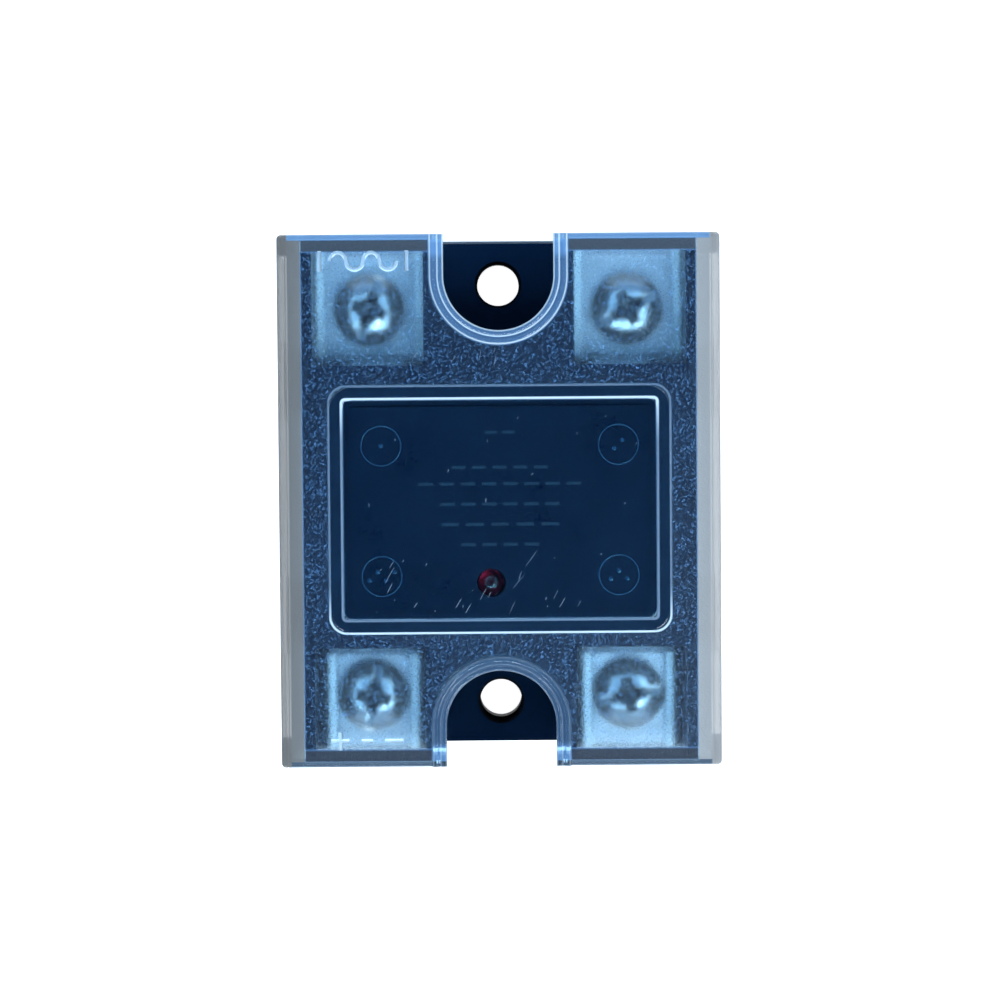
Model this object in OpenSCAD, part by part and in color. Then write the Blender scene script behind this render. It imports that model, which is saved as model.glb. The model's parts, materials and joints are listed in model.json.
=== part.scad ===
// Solid state relay in the flat two-hole module format: a metal base plate, a potted
// plastic housing with four screw terminals and a clip-on translucent cover.
// Origin: centre of the underside. +Z up, +Y towards the output terminals.

/* [Base plate] */
// Length of the base plate along Y
plate_l = 58; // [57:0.5:60]
// Width of the base plate along X
plate_w = 44.6; // [44:0.1:45]
// Thickness of the base plate
plate_t = 3; // [2:0.5:3.5]
// Distance between the two mounting holes
hole_spacing = 47.6; // [47:0.1:48.2]
// Diameter of the mounting holes
hole_d = 4.8; // [4.3:0.1:5.2]

/* [Housing] */
// Length of the housing where it meets the base plate
body_l = 57.2; // [56.8:0.1:57.6]
// Width of the housing where it meets the base plate
body_w = 44.2; // [43.8:0.1:44.4]
// Amount by which each side leans in from bottom to top
body_draft = 0.6; // [0.4:0.1:0.8]
// Height of the flat top of the housing above the underside
deck_z = 25.6; // [25.2:0.1:25.7]
// Height of the plastic floor of the mounting ears
ear_z = 7.6; // [6.5:0.1:8]
// Height of the ledges that carry the terminals
ledge_z = 17.6; // [17:0.1:18]
// Width of the raised data panel
panel_w = 32.8; // [30:0.1:33.4]
// Length of the raised data panel
panel_l = 22.1; // [20:0.1:22.6]
// Height of the data panel above the top
panel_h = 0.4; // [0.2:0.1:0.5]

/* [Terminals] */
// Sideways distance from the middle to each output screw
out_x = 14.2; // [13.8:0.1:14.4]
// Distance from the middle to the output screws
out_y = 20.8; // [20.4:0.1:21.2]
// Sideways distance from the middle to each input screw
in_x = 14.1; // [13.8:0.1:14.4]
// Distance from the middle to the input screws
in_y = 21.8; // [21.4:0.1:22.2]
// Width of an output terminal
out_w = 11.8; // [11:0.1:11.9]
// Width of an input terminal
in_w = 10; // [9.8:0.1:10.4]
// Thickness of a terminal strip
strip_t = 1; // [0.8:0.1:1.2]
// Height of the turned-up sides of a terminal above its strip
lug_h = 1.4; // [1:0.1:1.6]

/* [Terminal screws] */
// Nominal thread diameter
thread_d = 4; // [3.9:0.05:4]
// Length of the screw under its head
shank_l = 8; // [7:0.5:8.5]
// Diameter of the pan head
head_d = 7.8; // [7:0.1:8]
// Height of the pan head
head_h = 2.6; // [2.2:0.1:2.7]
// Thickness of the wire clamp under the head
clamp_t = 1; // [0.8:0.1:1.1]

/* [Cover] */
// Width of the cover over its side walls
cover_w = 47.9; // [47.8:0.1:48.4]
// Length of the cover
cover_l = 57.8; // [57.6:0.1:58]
// Height of the top face of the cover
cover_z = 27.7; // [27.5:0.1:28]
// Thickness of the top of the cover
cover_t = 1.2; // [1:0.1:1.3]
// Thickness of the two long side walls
wall_t = 1.1; // [0.9:0.05:1.15]
// Inner radius of the U-shaped collars at the mounting ears
collar_r = 5.95; // [5.6:0.05:6.1]
// Thickness of the collar walls
collar_t = 1.3; // [1:0.05:1.35]
// Height of the raised rims around the window and the collars
rim_h = 0.3; // [0.2:0.05:0.4]

/* [Hidden] */
$fn = 48;

// Small working values
eps = 0.01;
far = 40;
seat_gap = 0.02;
fit_gap = 0.05;

// Mounting ears and the arch that frees each one
hole_y = hole_spacing / 2;
arch_y = 24.4;
notch_gap = 0.2;
notch_r = collar_r + collar_t + notch_gap;
ear_rim = 0.25;

// Housing outline, shell and hollow
body_r = 1.2;
cavity_x = 20;
cavity_y = 13.2;
roof_t = 1.3;
cavity_top = deck_z - roof_t;
panel_y = -0.85;
panel_r = 0.6;
pad_d = 4.3;
pad_sink = 0.12;
pad_x = 12.9;
pad_out_y = 6;
pad_in_y = -8.2;
pip_d = 0.7;
pip_h = 0.1;
pip_step = 1.2;
line_sink = 0.1;
line_w = 0.35;
catch_y = 13;
catch_l = 7;
catch_z = 11.5;
catch_h = 1.6;
catch_x = 22.8;

// Terminal bays, as lowest and highest x, and the inner edge
bay_x = [8.2, 20.3];
bay_out_y = 14.7;
bay_in_y = 16.1;
nut_w = 7;
nut_h = 3.2;
bore_floor = 10.6;

// Terminal strips: outer ends, inner ends and the tail that leads inside
out_y0 = 15.1;
out_y1 = 27.5;
in_y0 = 16.6;
in_y1 = 27.6;
lug_t = 0.9;
tail_w = 6;
tail_x = 13.4;
tail_end = 11;
in_tail_w = 4;
in_tail_end = 9;
strip_top = ledge_z + strip_t;
clamp_z = strip_top + seat_gap;
head_z = clamp_z + clamp_t + seat_gap;

// Power stage, stacked on the base plate
solder_z = plate_t;
solder_t = 0.15;
ceramic_z = solder_z + solder_t;
ceramic_t = 0.7;
pads_z = ceramic_z + ceramic_t;
pads_t = 0.3;
chip_z = pads_z + pads_t;
chip_t = 0.4;
chip_w = 7;
chip_x = 10;
chip_out_y = 1.5;
chip_in_y = -6.5;
clip_t = 0.5;
gate_off = 2.8;
pin_d = 0.6;

// Control board and its parts
board_z = 14;
potting_top = board_z;
board_t = 1;
board_w = 36;
board_y = [-12.6, 10.4];
board_top = board_z + board_t;
led_x = -1;
led_y = -9;
led_d = 2.9;
led_hole_d = 3.1;
led_flange_z = 21;
led_top = 25.9;

// Cover details
cover_r = 1;
wall_foot = 8.5;
collar_foot = 8;
lip_t = 0.65;
lip_foot = 24.6;
window = [34.3, 24.1];
window_y = -0.9;
window_r = 1.1;
window_sink = 0.2;
frame_w = 1.5;
catch_play = 0.8;
mark_h = 0.25;
mark_w = 0.45;

// Turn of each screw head about +Z, in the order output left, output right, input right, input left
screw_turn = [72, 27, 10, 80];

// ---- shared shapes ----

module rounded_rect(w, l, r) {
    square([w - 2 * r, l], center = true);
    square([w, l - 2 * r], center = true);
    for (sx = [-1, 1], sy = [-1, 1])
        translate([sx * (w / 2 - r), sy * (l / 2 - r)]) circle(r);
}

module slab(w, l, h, r, z = 0) {
    translate([0, 0, z]) linear_extrude(h) rounded_rect(w, l, r);
}

// Arch centred on the origin and open towards +Y
module arch(r, reach) {
    circle(r);
    translate([-r, 0]) square([2 * r, reach]);
}

// Calls its children at the output end and, turned half round, at the input end
module both_ends() {
    for (turn = [0, 180]) rotate([0, 0, turn]) children();
}

module box(x, y, z) {
    translate([x[0], y[0], z[0]]) cube([x[1] - x[0], y[1] - y[0], z[1] - z[0]]);
}

// Sends its children to the four screws: 1 output left, 2 output right, 3 input right, 4 input left
module at_screw(n) {
    x = (n == 1 || n == 4 ? -1 : 1) * (n < 3 ? out_x : in_x);
    y = n < 3 ? out_y : -in_y;
    translate([x, y, 0]) children();
}

// ---- base and power stage ----

module mounting_holes(d) {
    for (s = [-1, 1]) translate([0, s * hole_y, -eps]) cylinder(d = d, h = far);
}

module base_plate() color("#b9bdc2") difference() {
    slab(plate_w, plate_l, plate_t, 0.8);
    mounting_holes(hole_d);
}

module solder_layer() color("#9a9a98")
    slab(33.6, 21.6, solder_t, 0.5, solder_z);

module ceramic_substrate() color("#eceadf")
    slab(34.4, 22.4, ceramic_t, 0.4, ceramic_z);

module copper_pads() color("#c07a45") {
    for (s = [-1, 1]) translate([s * 11, 0.4, 0]) slab(11.4, 20.8, pads_t, 0.4, pads_z);
    for (y = [-6, 0, 6]) translate([0, y, 0]) slab(3, 3.4, pads_t, 0.3, pads_z);
}

module thyristor_chips() color("#4b4f58") {
    translate([-chip_x, chip_out_y, 0]) slab(chip_w, chip_w, chip_t, 0.2, chip_z);
    translate([chip_x, chip_in_y, 0]) slab(chip_w, chip_w, chip_t, 0.2, chip_z);
}

// Each clip joins the top of one chip to the pad under the other
module chip_clip() {
    z = chip_z + chip_t;
    box([-12, 8], [-1.8, 1.8], [z, z + clip_t]);
    box([6.8, 8], [-1.8, 1.8], [chip_z, z + eps]);
}

module chip_clips() color("#c98952") {
    translate([0, chip_out_y, 0]) chip_clip();
    translate([0, chip_in_y, 0]) rotate([0, 0, 180]) chip_clip();
}

module gate_pins() color("#d8b46a") for (chip = [[-chip_x, chip_out_y, 1], [chip_x, chip_in_y, -1]])
    translate([chip[0] - chip[2] * gate_off, chip[1] + chip[2] * gate_off, chip_z + chip_t])
        cylinder(d = pin_d, h = board_z - chip_z - chip_t, $fn = 24);

module potting_compound() color("#2f3338") difference() {
    box([-cavity_x, cavity_x], [-cavity_y, cavity_y], [plate_t, potting_top]);
    solder_layer();
    ceramic_substrate();
    copper_pads();
    thyristor_chips();
    chip_clips();
    gate_pins();
    output_terminal(1);
    output_terminal(-1);
}

// ---- housing ----

module body_block() hull() {
    slab(body_w, body_l, eps, body_r, plate_t);
    slab(body_w - 2 * body_draft, body_l - 2 * body_draft, eps, body_r, deck_z - eps);
}

// Bay, nut pocket and bore of one terminal on the right-hand side
module terminal_bay(screw_x, screw_y, inner_y, strip_w) {
    box(bay_x, [inner_y, far], [strip_top - eps, far]);
    box([screw_x - strip_w / 2, screw_x + strip_w / 2], [inner_y, far], [ledge_z, strip_top]);
    translate([screw_x - nut_w / 2, screw_y - nut_w / 2, ledge_z - nut_h]) cube([nut_w, nut_w, far]);
    translate([screw_x, screw_y, bore_floor]) cylinder(d = thread_d + 2 * fit_gap, h = far);
}

module tail_slot(x, w, inner_y) {
    box([x - w / 2, x + w / 2], [cavity_y - eps, inner_y + eps], [ledge_z, strip_top]);
}

module pips(count) for (i = [0:count - 1])
    translate([(i - (count - 1) / 2) * 0.9, (i % 2) * 0.9 - (count > 1 ? 0.45 : 0)]) circle(d = pip_d);

// Sunk disc with one raised dot for terminal 1, two for terminal 2 and so on
module number_pad_cut(count) {
    top = deck_z + panel_h;
    difference() {
        translate([0, 0, top - pad_sink]) cylinder(d = pad_d, h = far);
        translate([0, 0, top - pad_sink - eps]) linear_extrude(pip_h) pips(count);
    }
}

// Plain rows of sunk dashes in the place of a data table: y, half length and number of dashes
data_rows = [[7.4, 1.9, 2], [3.6, 5.6, 5], [1.8, 9.2, 8], [-0.4, 6.8, 6], [-2.6, 6.8, 5], [-4.8, 4.6, 4]];

module data_marks() for (row = data_rows) {
    pitch = 2 * row[1] / row[2];
    for (i = [0:row[2] - 1])
        translate([-row[1] + pitch * (i + 0.5), row[0]]) square([pitch * 0.72, line_w], center = true);
}

module side_catches() for (sx = [-1, 1], sy = [-1, 1])
    scale([sx, 1, 1]) translate([0, sy * catch_y + catch_l / 2, catch_z]) rotate([90, 0, 0])
        linear_extrude(catch_l)
            polygon([[21, 0], [catch_x, 0.1], [catch_x, 0.5], [21.8, catch_h], [21, catch_h]]);

module housing() color("#14233a") difference() {
    union() {
        body_block();
        side_catches();
        translate([0, panel_y, 0]) slab(panel_w, panel_l, panel_h + eps, panel_r, deck_z - eps);
    }
    both_ends() translate([0, arch_y, ear_z]) linear_extrude(far) arch(notch_r, far);
    mounting_holes(hole_d);
    for (s = [-1, 1]) translate([0, s * hole_y, ear_z - ear_rim])
        cylinder(d1 = hole_d, d2 = hole_d + 2 * ear_rim, h = ear_rim + eps);
    for (s = [-1, 1]) scale([s, 1, 1]) {
        terminal_bay(out_x, out_y, bay_out_y, out_w);
        tail_slot(tail_x, tail_w, bay_out_y);
        scale([1, -1, 1]) terminal_bay(in_x, in_y, bay_in_y, in_w);
        scale([1, -1, 1]) tail_slot(in_x, in_tail_w, bay_in_y);
    }
    box([-cavity_x, cavity_x], [-cavity_y, cavity_y], [plate_t - eps, cavity_top]);
    translate([led_x, led_y, cavity_top - eps]) cylinder(d = led_hole_d, h = far);
    translate([-pad_x, pad_out_y, 0]) number_pad_cut(1);
    translate([pad_x, pad_out_y, 0]) number_pad_cut(2);
    translate([pad_x, pad_in_y, 0]) number_pad_cut(3);
    translate([-pad_x, pad_in_y, 0]) number_pad_cut(4);
    translate([0, 0, deck_z + panel_h - line_sink]) linear_extrude(far) data_marks();
}

// ---- terminals ----

module strip(x, y0, y1, w) {
    box([x - w / 2, x + w / 2], [y0, y1], [ledge_z, strip_top]);
    for (s = [-1, 1]) translate([x + s * (w - lug_t) / 2 - lug_t / 2, y0 + 0.6, strip_top - eps])
        cube([lug_t, y1 - y0 - 0.6, lug_h + eps]);
}

module screw_clearance(n) at_screw(n)
    translate([0, 0, bore_floor]) cylinder(d = thread_d + 2 * fit_gap, h = far);

// Output terminal with its tail down to the copper pad; side is -1 on the left and 1 on the right
module output_terminal(side) scale([side, 1, 1]) {
    strip(out_x, out_y0, out_y1, out_w);
    tx = [tail_x - tail_w / 2, tail_x + tail_w / 2];
    box(tx, [tail_end, out_y0 + eps], [ledge_z, strip_top]);
    box(tx, [tail_end, tail_end + strip_t], [chip_z, strip_top]);
    box(tx, [6.6, tail_end + strip_t], [chip_z, chip_z + strip_t]);
}

// Input terminal with its short tail down to the control board
module input_terminal(side) scale([side, -1, 1]) {
    strip(in_x, in_y0, in_y1, in_w);
    tx = [in_x - in_tail_w / 2, in_x + in_tail_w / 2];
    box(tx, [in_tail_end, in_y0 + eps], [ledge_z, strip_top]);
    box(tx, [in_tail_end, in_tail_end + strip_t], [board_top, strip_top]);
}

module output_terminal_1() color("#c9ced6") difference() { output_terminal(-1); screw_clearance(1); }
module output_terminal_2() color("#c9ced6") difference() { output_terminal(1); screw_clearance(2); }
module input_terminal_3() color("#c9ced6") difference() { input_terminal(1); screw_clearance(3); }
module input_terminal_4() color("#c9ced6") difference() { input_terminal(-1); screw_clearance(4); }

module captive_nuts() color("#a9a48f") for (n = [1:4]) at_screw(n) difference() {
    translate([-nut_w / 2, -nut_w / 2, ledge_z - nut_h]) cube([nut_w, nut_w, nut_h]);
    translate([0, 0, bore_floor]) cylinder(d = thread_d + 2 * fit_gap, h = far);
}

// Wire clamp, w wide between the turned-up sides, reaching back and out from the screw
module wire_clamp(n, w, back, out) color("#d5dae2") at_screw(n) scale([1, n < 3 ? 1 : -1, 1])
    difference() {
        translate([0, (out - back) / 2, clamp_z]) linear_extrude(clamp_t) rounded_rect(w, out + back, 0.8);
        translate([0, 0, bore_floor]) cylinder(d = thread_d + 2 * fit_gap, h = far);
    }

out_clamp_w = out_w - 2 * lug_t - 0.3;
in_clamp_w = in_w - 2 * lug_t - 0.3;
module wire_clamp_1() wire_clamp(1, out_clamp_w, 5, 5.8);
module wire_clamp_2() wire_clamp(2, out_clamp_w, 5, 5.8);
module wire_clamp_3() wire_clamp(3, in_clamp_w, 4.6, 5);
module wire_clamp_4() wire_clamp(4, in_clamp_w, 4.6, 5);

module head_profile() {
    side_h = 0.9;
    rise = head_h - side_h;
    dome_r = (pow(head_d / 2, 2) + pow(rise, 2)) / (2 * rise);
    intersection() {
        translate([0, head_h - dome_r]) circle(dome_r, $fn = 96);
        square([head_d / 2, head_h]);
    }
}

// Pan head screw with a cross recess and a straight slot in line with it
module terminal_screw(n) color("#dfe4ea") at_screw(n) difference() {
    union() {
        translate([0, 0, head_z]) rotate_extrude() head_profile();
        translate([0, 0, head_z - shank_l]) cylinder(d = thread_d, h = shank_l + eps);
    }
    translate([0, 0, head_z + head_h]) rotate([0, 0, screw_turn[n - 1]]) {
        cube([far, 1.1, 1.7], center = true);
        for (a = [0, 90]) rotate([0, 0, a]) cube([4.3, 1.05, 3.6], center = true);
        translate([0, 0, -1.9]) cylinder(d1 = 1.2, d2 = 2.5, h = 2);
    }
}

module terminal_screw_1() terminal_screw(1);
module terminal_screw_2() terminal_screw(2);
module terminal_screw_3() terminal_screw(3);
module terminal_screw_4() terminal_screw(4);

// ---- control board ----

module control_board() color("#2d6b45") difference() {
    box([-board_w / 2, board_w / 2], board_y, [board_z, board_top]);
    translate([0, 0, board_z - eps]) for (y = [-7.6, 5.4]) translate([-16.6, y, 0]) cylinder(d = 1.6, h = far);
}

// Part with two wire ends, lying along X with its axis at height z
module axial_part(x, y, z, d, l, lead_span) {
    translate([x - l / 2, y, z]) rotate([0, 90, 0]) cylinder(d = d, h = l);
    translate([x - lead_span / 2, y, z]) rotate([0, 90, 0]) cylinder(d = pin_d, h = lead_span, $fn = 24);
    for (s = [-1, 1]) translate([x + s * (lead_span - pin_d) / 2, y, board_top])
        cylinder(d = pin_d, h = z - board_top, $fn = 24);
}

module optocoupler() color("#24262a") {
    box([-4.4, 4.4], [-4.2, 2.2], [board_top + 0.6, board_top + 4]);
    for (x = [-2.54, 0, 2.54], y = [-4.6, 2.6])
        box([x - 0.3, x + 0.3], [y - 0.5, y + 0.5], [board_top, board_top + 2]);
}

module input_resistor() color("#b7a074") axial_part(-7, -10.2, board_top + 1.3, 2.4, 6.4, 9);
module input_diode() color("#33343a") axial_part(5.6, -10.6, board_top + 1.1, 2, 4.2, 7);
module gate_resistor() color("#7d95b5") axial_part(-10.2, -1.2, board_top + 1.1, 1.9, 4, 6.6);
module snubber_resistor() color("#6f7a70") axial_part(-8.4, 5.6, board_top + 2.2, 3.8, 9.4, 12.4);

module drive_transistor() color("#1f2124") translate([10, -3.6, 0]) {
    translate([0, 0, board_top + 1.5]) linear_extrude(4.6) difference() {
        circle(2.3);
        translate([-3, -5.4]) square([6, 4]);
    }
    for (x = [-1.27, 0, 1.27]) translate([x, 0, board_top]) cylinder(d = 0.5, h = 1.6, $fn = 24);
}

module snubber_capacitor() color("#b3462e")
    box([1.2, 11.4], [4.6, 8.8], [board_top, board_top + 7.4]);

module surge_absorber() color("#2f5f9e") {
    translate([13.2, 1, board_top + 4.6]) rotate([0, 90, 0]) cylinder(d = 7, h = 3);
    for (y = [-1.4, 3.4]) translate([14.7, y, board_top]) cylinder(d = pin_d, h = 4, $fn = 24);
}

module indicator_led() color("#5a1626") translate([led_x, led_y, 0]) {
    r = led_d / 2;
    translate([0, 0, led_flange_z]) cylinder(d = 3.8, h = 1);
    translate([0, 0, led_flange_z]) cylinder(r = r, h = led_top - r - led_flange_z);
    translate([0, 0, led_top - r]) rotate_extrude() intersection() {
        circle(r);
        square(r);
    }
}

module led_leads() color("#c4c7cb") for (s = [-1, 1])
    translate([led_x + s * 0.8, led_y, board_top])
        cylinder(d = 0.5, h = led_flange_z - board_top, $fn = 24);

// ---- cover ----

// Wave between two bars over the output end
module output_mark() translate([-14.6, 26]) {
    for (s = [-1, 1]) translate([s * 4.7, 0]) square([mark_w, 2], center = true);
    for (i = [0:3]) translate([-2.7 + 1.8 * i, 0]) rotate([0, 0, i % 2 * 180]) difference() {
        circle(d = 1.8 + mark_w);
        circle(d = 1.8 - mark_w);
        translate([-2, -4]) square([4, 4]);
    }
}

// Plus, dash and minus over the input end
module input_mark() translate([-14.6, -26]) {
    for (s = [-1, 1]) translate([s * 2.9, 0]) square([1.9, mark_w], center = true);
    translate([-2.9, 0]) square([mark_w, 1.9], center = true);
    translate([0, 0]) square([1.4, 0.7], center = true);
}

module cover_plate() difference() {
    slab(cover_w, cover_l, cover_t, cover_r, cover_z - cover_t);
    both_ends() translate([0, arch_y, 0]) linear_extrude(far) arch(collar_r, far);
    translate([0, window_y, 0]) slab(window[0], window[1], far, window_r, cover_z - window_sink);
}

module window_frame() translate([0, window_y, cover_z - eps]) linear_extrude(rim_h + eps) difference() {
    rounded_rect(window[0] + 2 * frame_w, window[1] + 2 * frame_w, window_r + frame_w / 2);
    rounded_rect(window[0], window[1], window_r);
}

module collars() both_ends() translate([0, 0, collar_foot])
    linear_extrude(cover_z + rim_h - collar_foot) intersection() {
        translate([0, arch_y]) difference() {
            arch(collar_r + collar_t, far);
            arch(collar_r, far);
        }
        square([cover_w, cover_l], center = true);
    }

// Long side walls with a window over each catch of the housing
module side_walls() for (s = [-1, 1]) scale([s, 1, 1]) difference() {
    intersection() {
        box([cover_w / 2 - wall_t, cover_w / 2], [-far, far], [wall_foot, cover_z - eps]);
        slab(cover_w, cover_l, cover_z, cover_r);
    }
    for (y = [-1, 1]) box([0, far],
        [y * catch_y - catch_l / 2 - catch_play, y * catch_y + catch_l / 2 + catch_play],
        [catch_z - catch_play, catch_z + catch_h + catch_play]);
}

module end_lips() both_ends() for (s = [-1, 1]) scale([s, 1, 1])
    box([collar_r + collar_t - eps, cover_w / 2 - cover_r],
        [cover_l / 2 - lip_t, cover_l / 2], [lip_foot, cover_z - cover_t + eps]);

module cover() color("#9fc4e8", 0.4) {
    cover_plate();
    window_frame();
    collars();
    side_walls();
    end_lips();
    translate([0, 0, cover_z - eps]) linear_extrude(mark_h) {
        output_mark();
        input_mark();
    }
}

base_plate();
solder_layer();
ceramic_substrate();
copper_pads();
thyristor_chips();
chip_clips();
gate_pins();
potting_compound();
housing();
output_terminal_1();
output_terminal_2();
input_terminal_3();
input_terminal_4();
captive_nuts();
control_board();
optocoupler();
input_resistor();
input_diode();
drive_transistor();
gate_resistor();
snubber_resistor();
snubber_capacitor();
surge_absorber();
indicator_led();
led_leads();
wire_clamp_1();
wire_clamp_2();
wire_clamp_3();
wire_clamp_4();
terminal_screw_1();
terminal_screw_2();
terminal_screw_3();
terminal_screw_4();
cover();
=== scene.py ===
"""Looks of a solid state relay in the flat two-hole module format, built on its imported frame.

Lengths are written in millimetres and turned into the frame's metres where a mesh is made.
"""

import json
import logging
import math
import random
from collections.abc import Callable, Iterable, Sequence
from dataclasses import dataclass, field
from enum import Enum
from functools import lru_cache

import bmesh
import bpy
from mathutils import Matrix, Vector

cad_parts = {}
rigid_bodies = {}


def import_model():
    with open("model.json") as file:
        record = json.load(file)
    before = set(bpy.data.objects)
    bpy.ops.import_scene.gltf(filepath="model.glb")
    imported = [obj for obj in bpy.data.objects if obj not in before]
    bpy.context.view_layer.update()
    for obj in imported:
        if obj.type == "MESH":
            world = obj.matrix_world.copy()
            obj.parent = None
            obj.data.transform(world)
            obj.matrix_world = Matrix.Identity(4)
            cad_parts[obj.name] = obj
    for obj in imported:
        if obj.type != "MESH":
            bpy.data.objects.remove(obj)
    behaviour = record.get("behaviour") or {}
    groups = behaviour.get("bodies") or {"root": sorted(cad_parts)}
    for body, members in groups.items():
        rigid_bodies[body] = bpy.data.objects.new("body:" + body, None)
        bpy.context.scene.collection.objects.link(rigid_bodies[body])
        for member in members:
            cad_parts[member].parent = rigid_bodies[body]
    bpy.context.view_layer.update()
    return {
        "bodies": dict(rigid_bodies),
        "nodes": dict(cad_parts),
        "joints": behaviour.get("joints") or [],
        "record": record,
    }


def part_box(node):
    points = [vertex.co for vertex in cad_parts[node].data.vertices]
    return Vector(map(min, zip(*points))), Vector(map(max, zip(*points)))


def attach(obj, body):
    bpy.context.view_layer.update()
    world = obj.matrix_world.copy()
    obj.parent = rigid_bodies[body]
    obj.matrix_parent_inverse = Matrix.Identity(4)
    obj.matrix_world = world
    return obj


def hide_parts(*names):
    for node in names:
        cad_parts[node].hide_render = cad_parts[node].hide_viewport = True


log = logging.getLogger("relay")

MM = 0.001
Colour = tuple[float, float, float]
Line = list[tuple[float, float]]
Piece = bpy.types.Object
Socket = bpy.types.NodeSocket

# Sizes that both a shape and a finish need: mounting holes, then the cover's window and arches
HOLE_Y = 23.8
HOLE_R = 2.4
WINDOW = (33.9, 23.7)
WINDOW_Y = -0.9
FRAME_W = 1.7
ARCH_Y = 24.4


# ---- shader maths ----


class Field:
    """A value, vector or colour in a graph, which adds its own nodes as it is combined."""

    def __init__(self, graph: "Graph", socket: Socket) -> None:
        """Wraps an output socket.

        Args:
            graph: The graph that the socket belongs to.
            socket: The output that carries the value.
        """
        self.graph = graph
        self.socket = socket

    def _maths(self, operation: str, *values: "Field | float") -> "Field":
        """Adds one Math node.

        Args:
            operation: Name of the Math node's operation.
            values: What goes into it, in order.

        Returns:
            The node's result.
        """
        node = self.graph.node("ShaderNodeMath", {"operation": operation}, dict(enumerate(values)))
        return Field(self.graph, node.outputs[0])

    def __add__(self, other: "Field | float") -> "Field":
        """Adds."""
        return self._maths("ADD", self, other)

    __radd__ = __add__

    def __sub__(self, other: "Field | float") -> "Field":
        """Takes other away."""
        return self._maths("SUBTRACT", self, other)

    def __rsub__(self, other: float) -> "Field":
        """Takes this away from other."""
        return self._maths("SUBTRACT", other, self)

    def __mul__(self, other: "Field | float") -> "Field":
        """Multiplies."""
        return self._maths("MULTIPLY", self, other)

    __rmul__ = __mul__

    def __pow__(self, other: "Field | float") -> "Field":
        """Raises to a power."""
        return self._maths("POWER", self, other)

    def __abs__(self) -> "Field":
        """Drops the sign."""
        return self._maths("ABSOLUTE", self)

    def most(self, other: "Field | float") -> "Field":
        """Keeps the larger of the two."""
        return self._maths("MAXIMUM", self, other)

    def least(self, other: "Field | float") -> "Field":
        """Keeps the smaller of the two."""
        return self._maths("MINIMUM", self, other)

    def sine(self) -> "Field":
        """Takes the sine."""
        return self._maths("SINE", self)

    def step(self, low: float, high: float) -> "Field":
        """Rises smoothly from 0 at low to 1 at high, or falls if low is the larger.

        Args:
            low: Where the result is 0.
            high: Where the result is 1.

        Returns:
            The smooth step.
        """
        inputs = {"Value": self, "From Min": low, "From Max": high}
        node = self.graph.node("ShaderNodeMapRange", {"interpolation_type": "SMOOTHSTEP"}, inputs)
        return Field(self.graph, node.outputs[0])


def reach(x: Field, y: Field) -> Field:
    """Gives the distance of the point (x, y) from (0, 0)."""
    return (x ** 2.0 + y ** 2.0) ** 0.5


def rounded_box(x: Field, y: Field, half: Sequence[float], radius: float) -> Field:
    """Measures how far a point lies outside a rounded rectangle, below 0 inside.

    Args:
        x: Distance from its middle line.
        y: Distance from its other middle line.
        half: Its half width and half length.
        radius: Its corner radius.

    Returns:
        The distance in millimetres.
    """
    dx = abs(x) - (half[0] - radius)
    dy = abs(y) - (half[1] - radius)
    return reach(dx.most(0.0), dy.most(0.0)) + dx.most(dy).least(0.0) - radius


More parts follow.
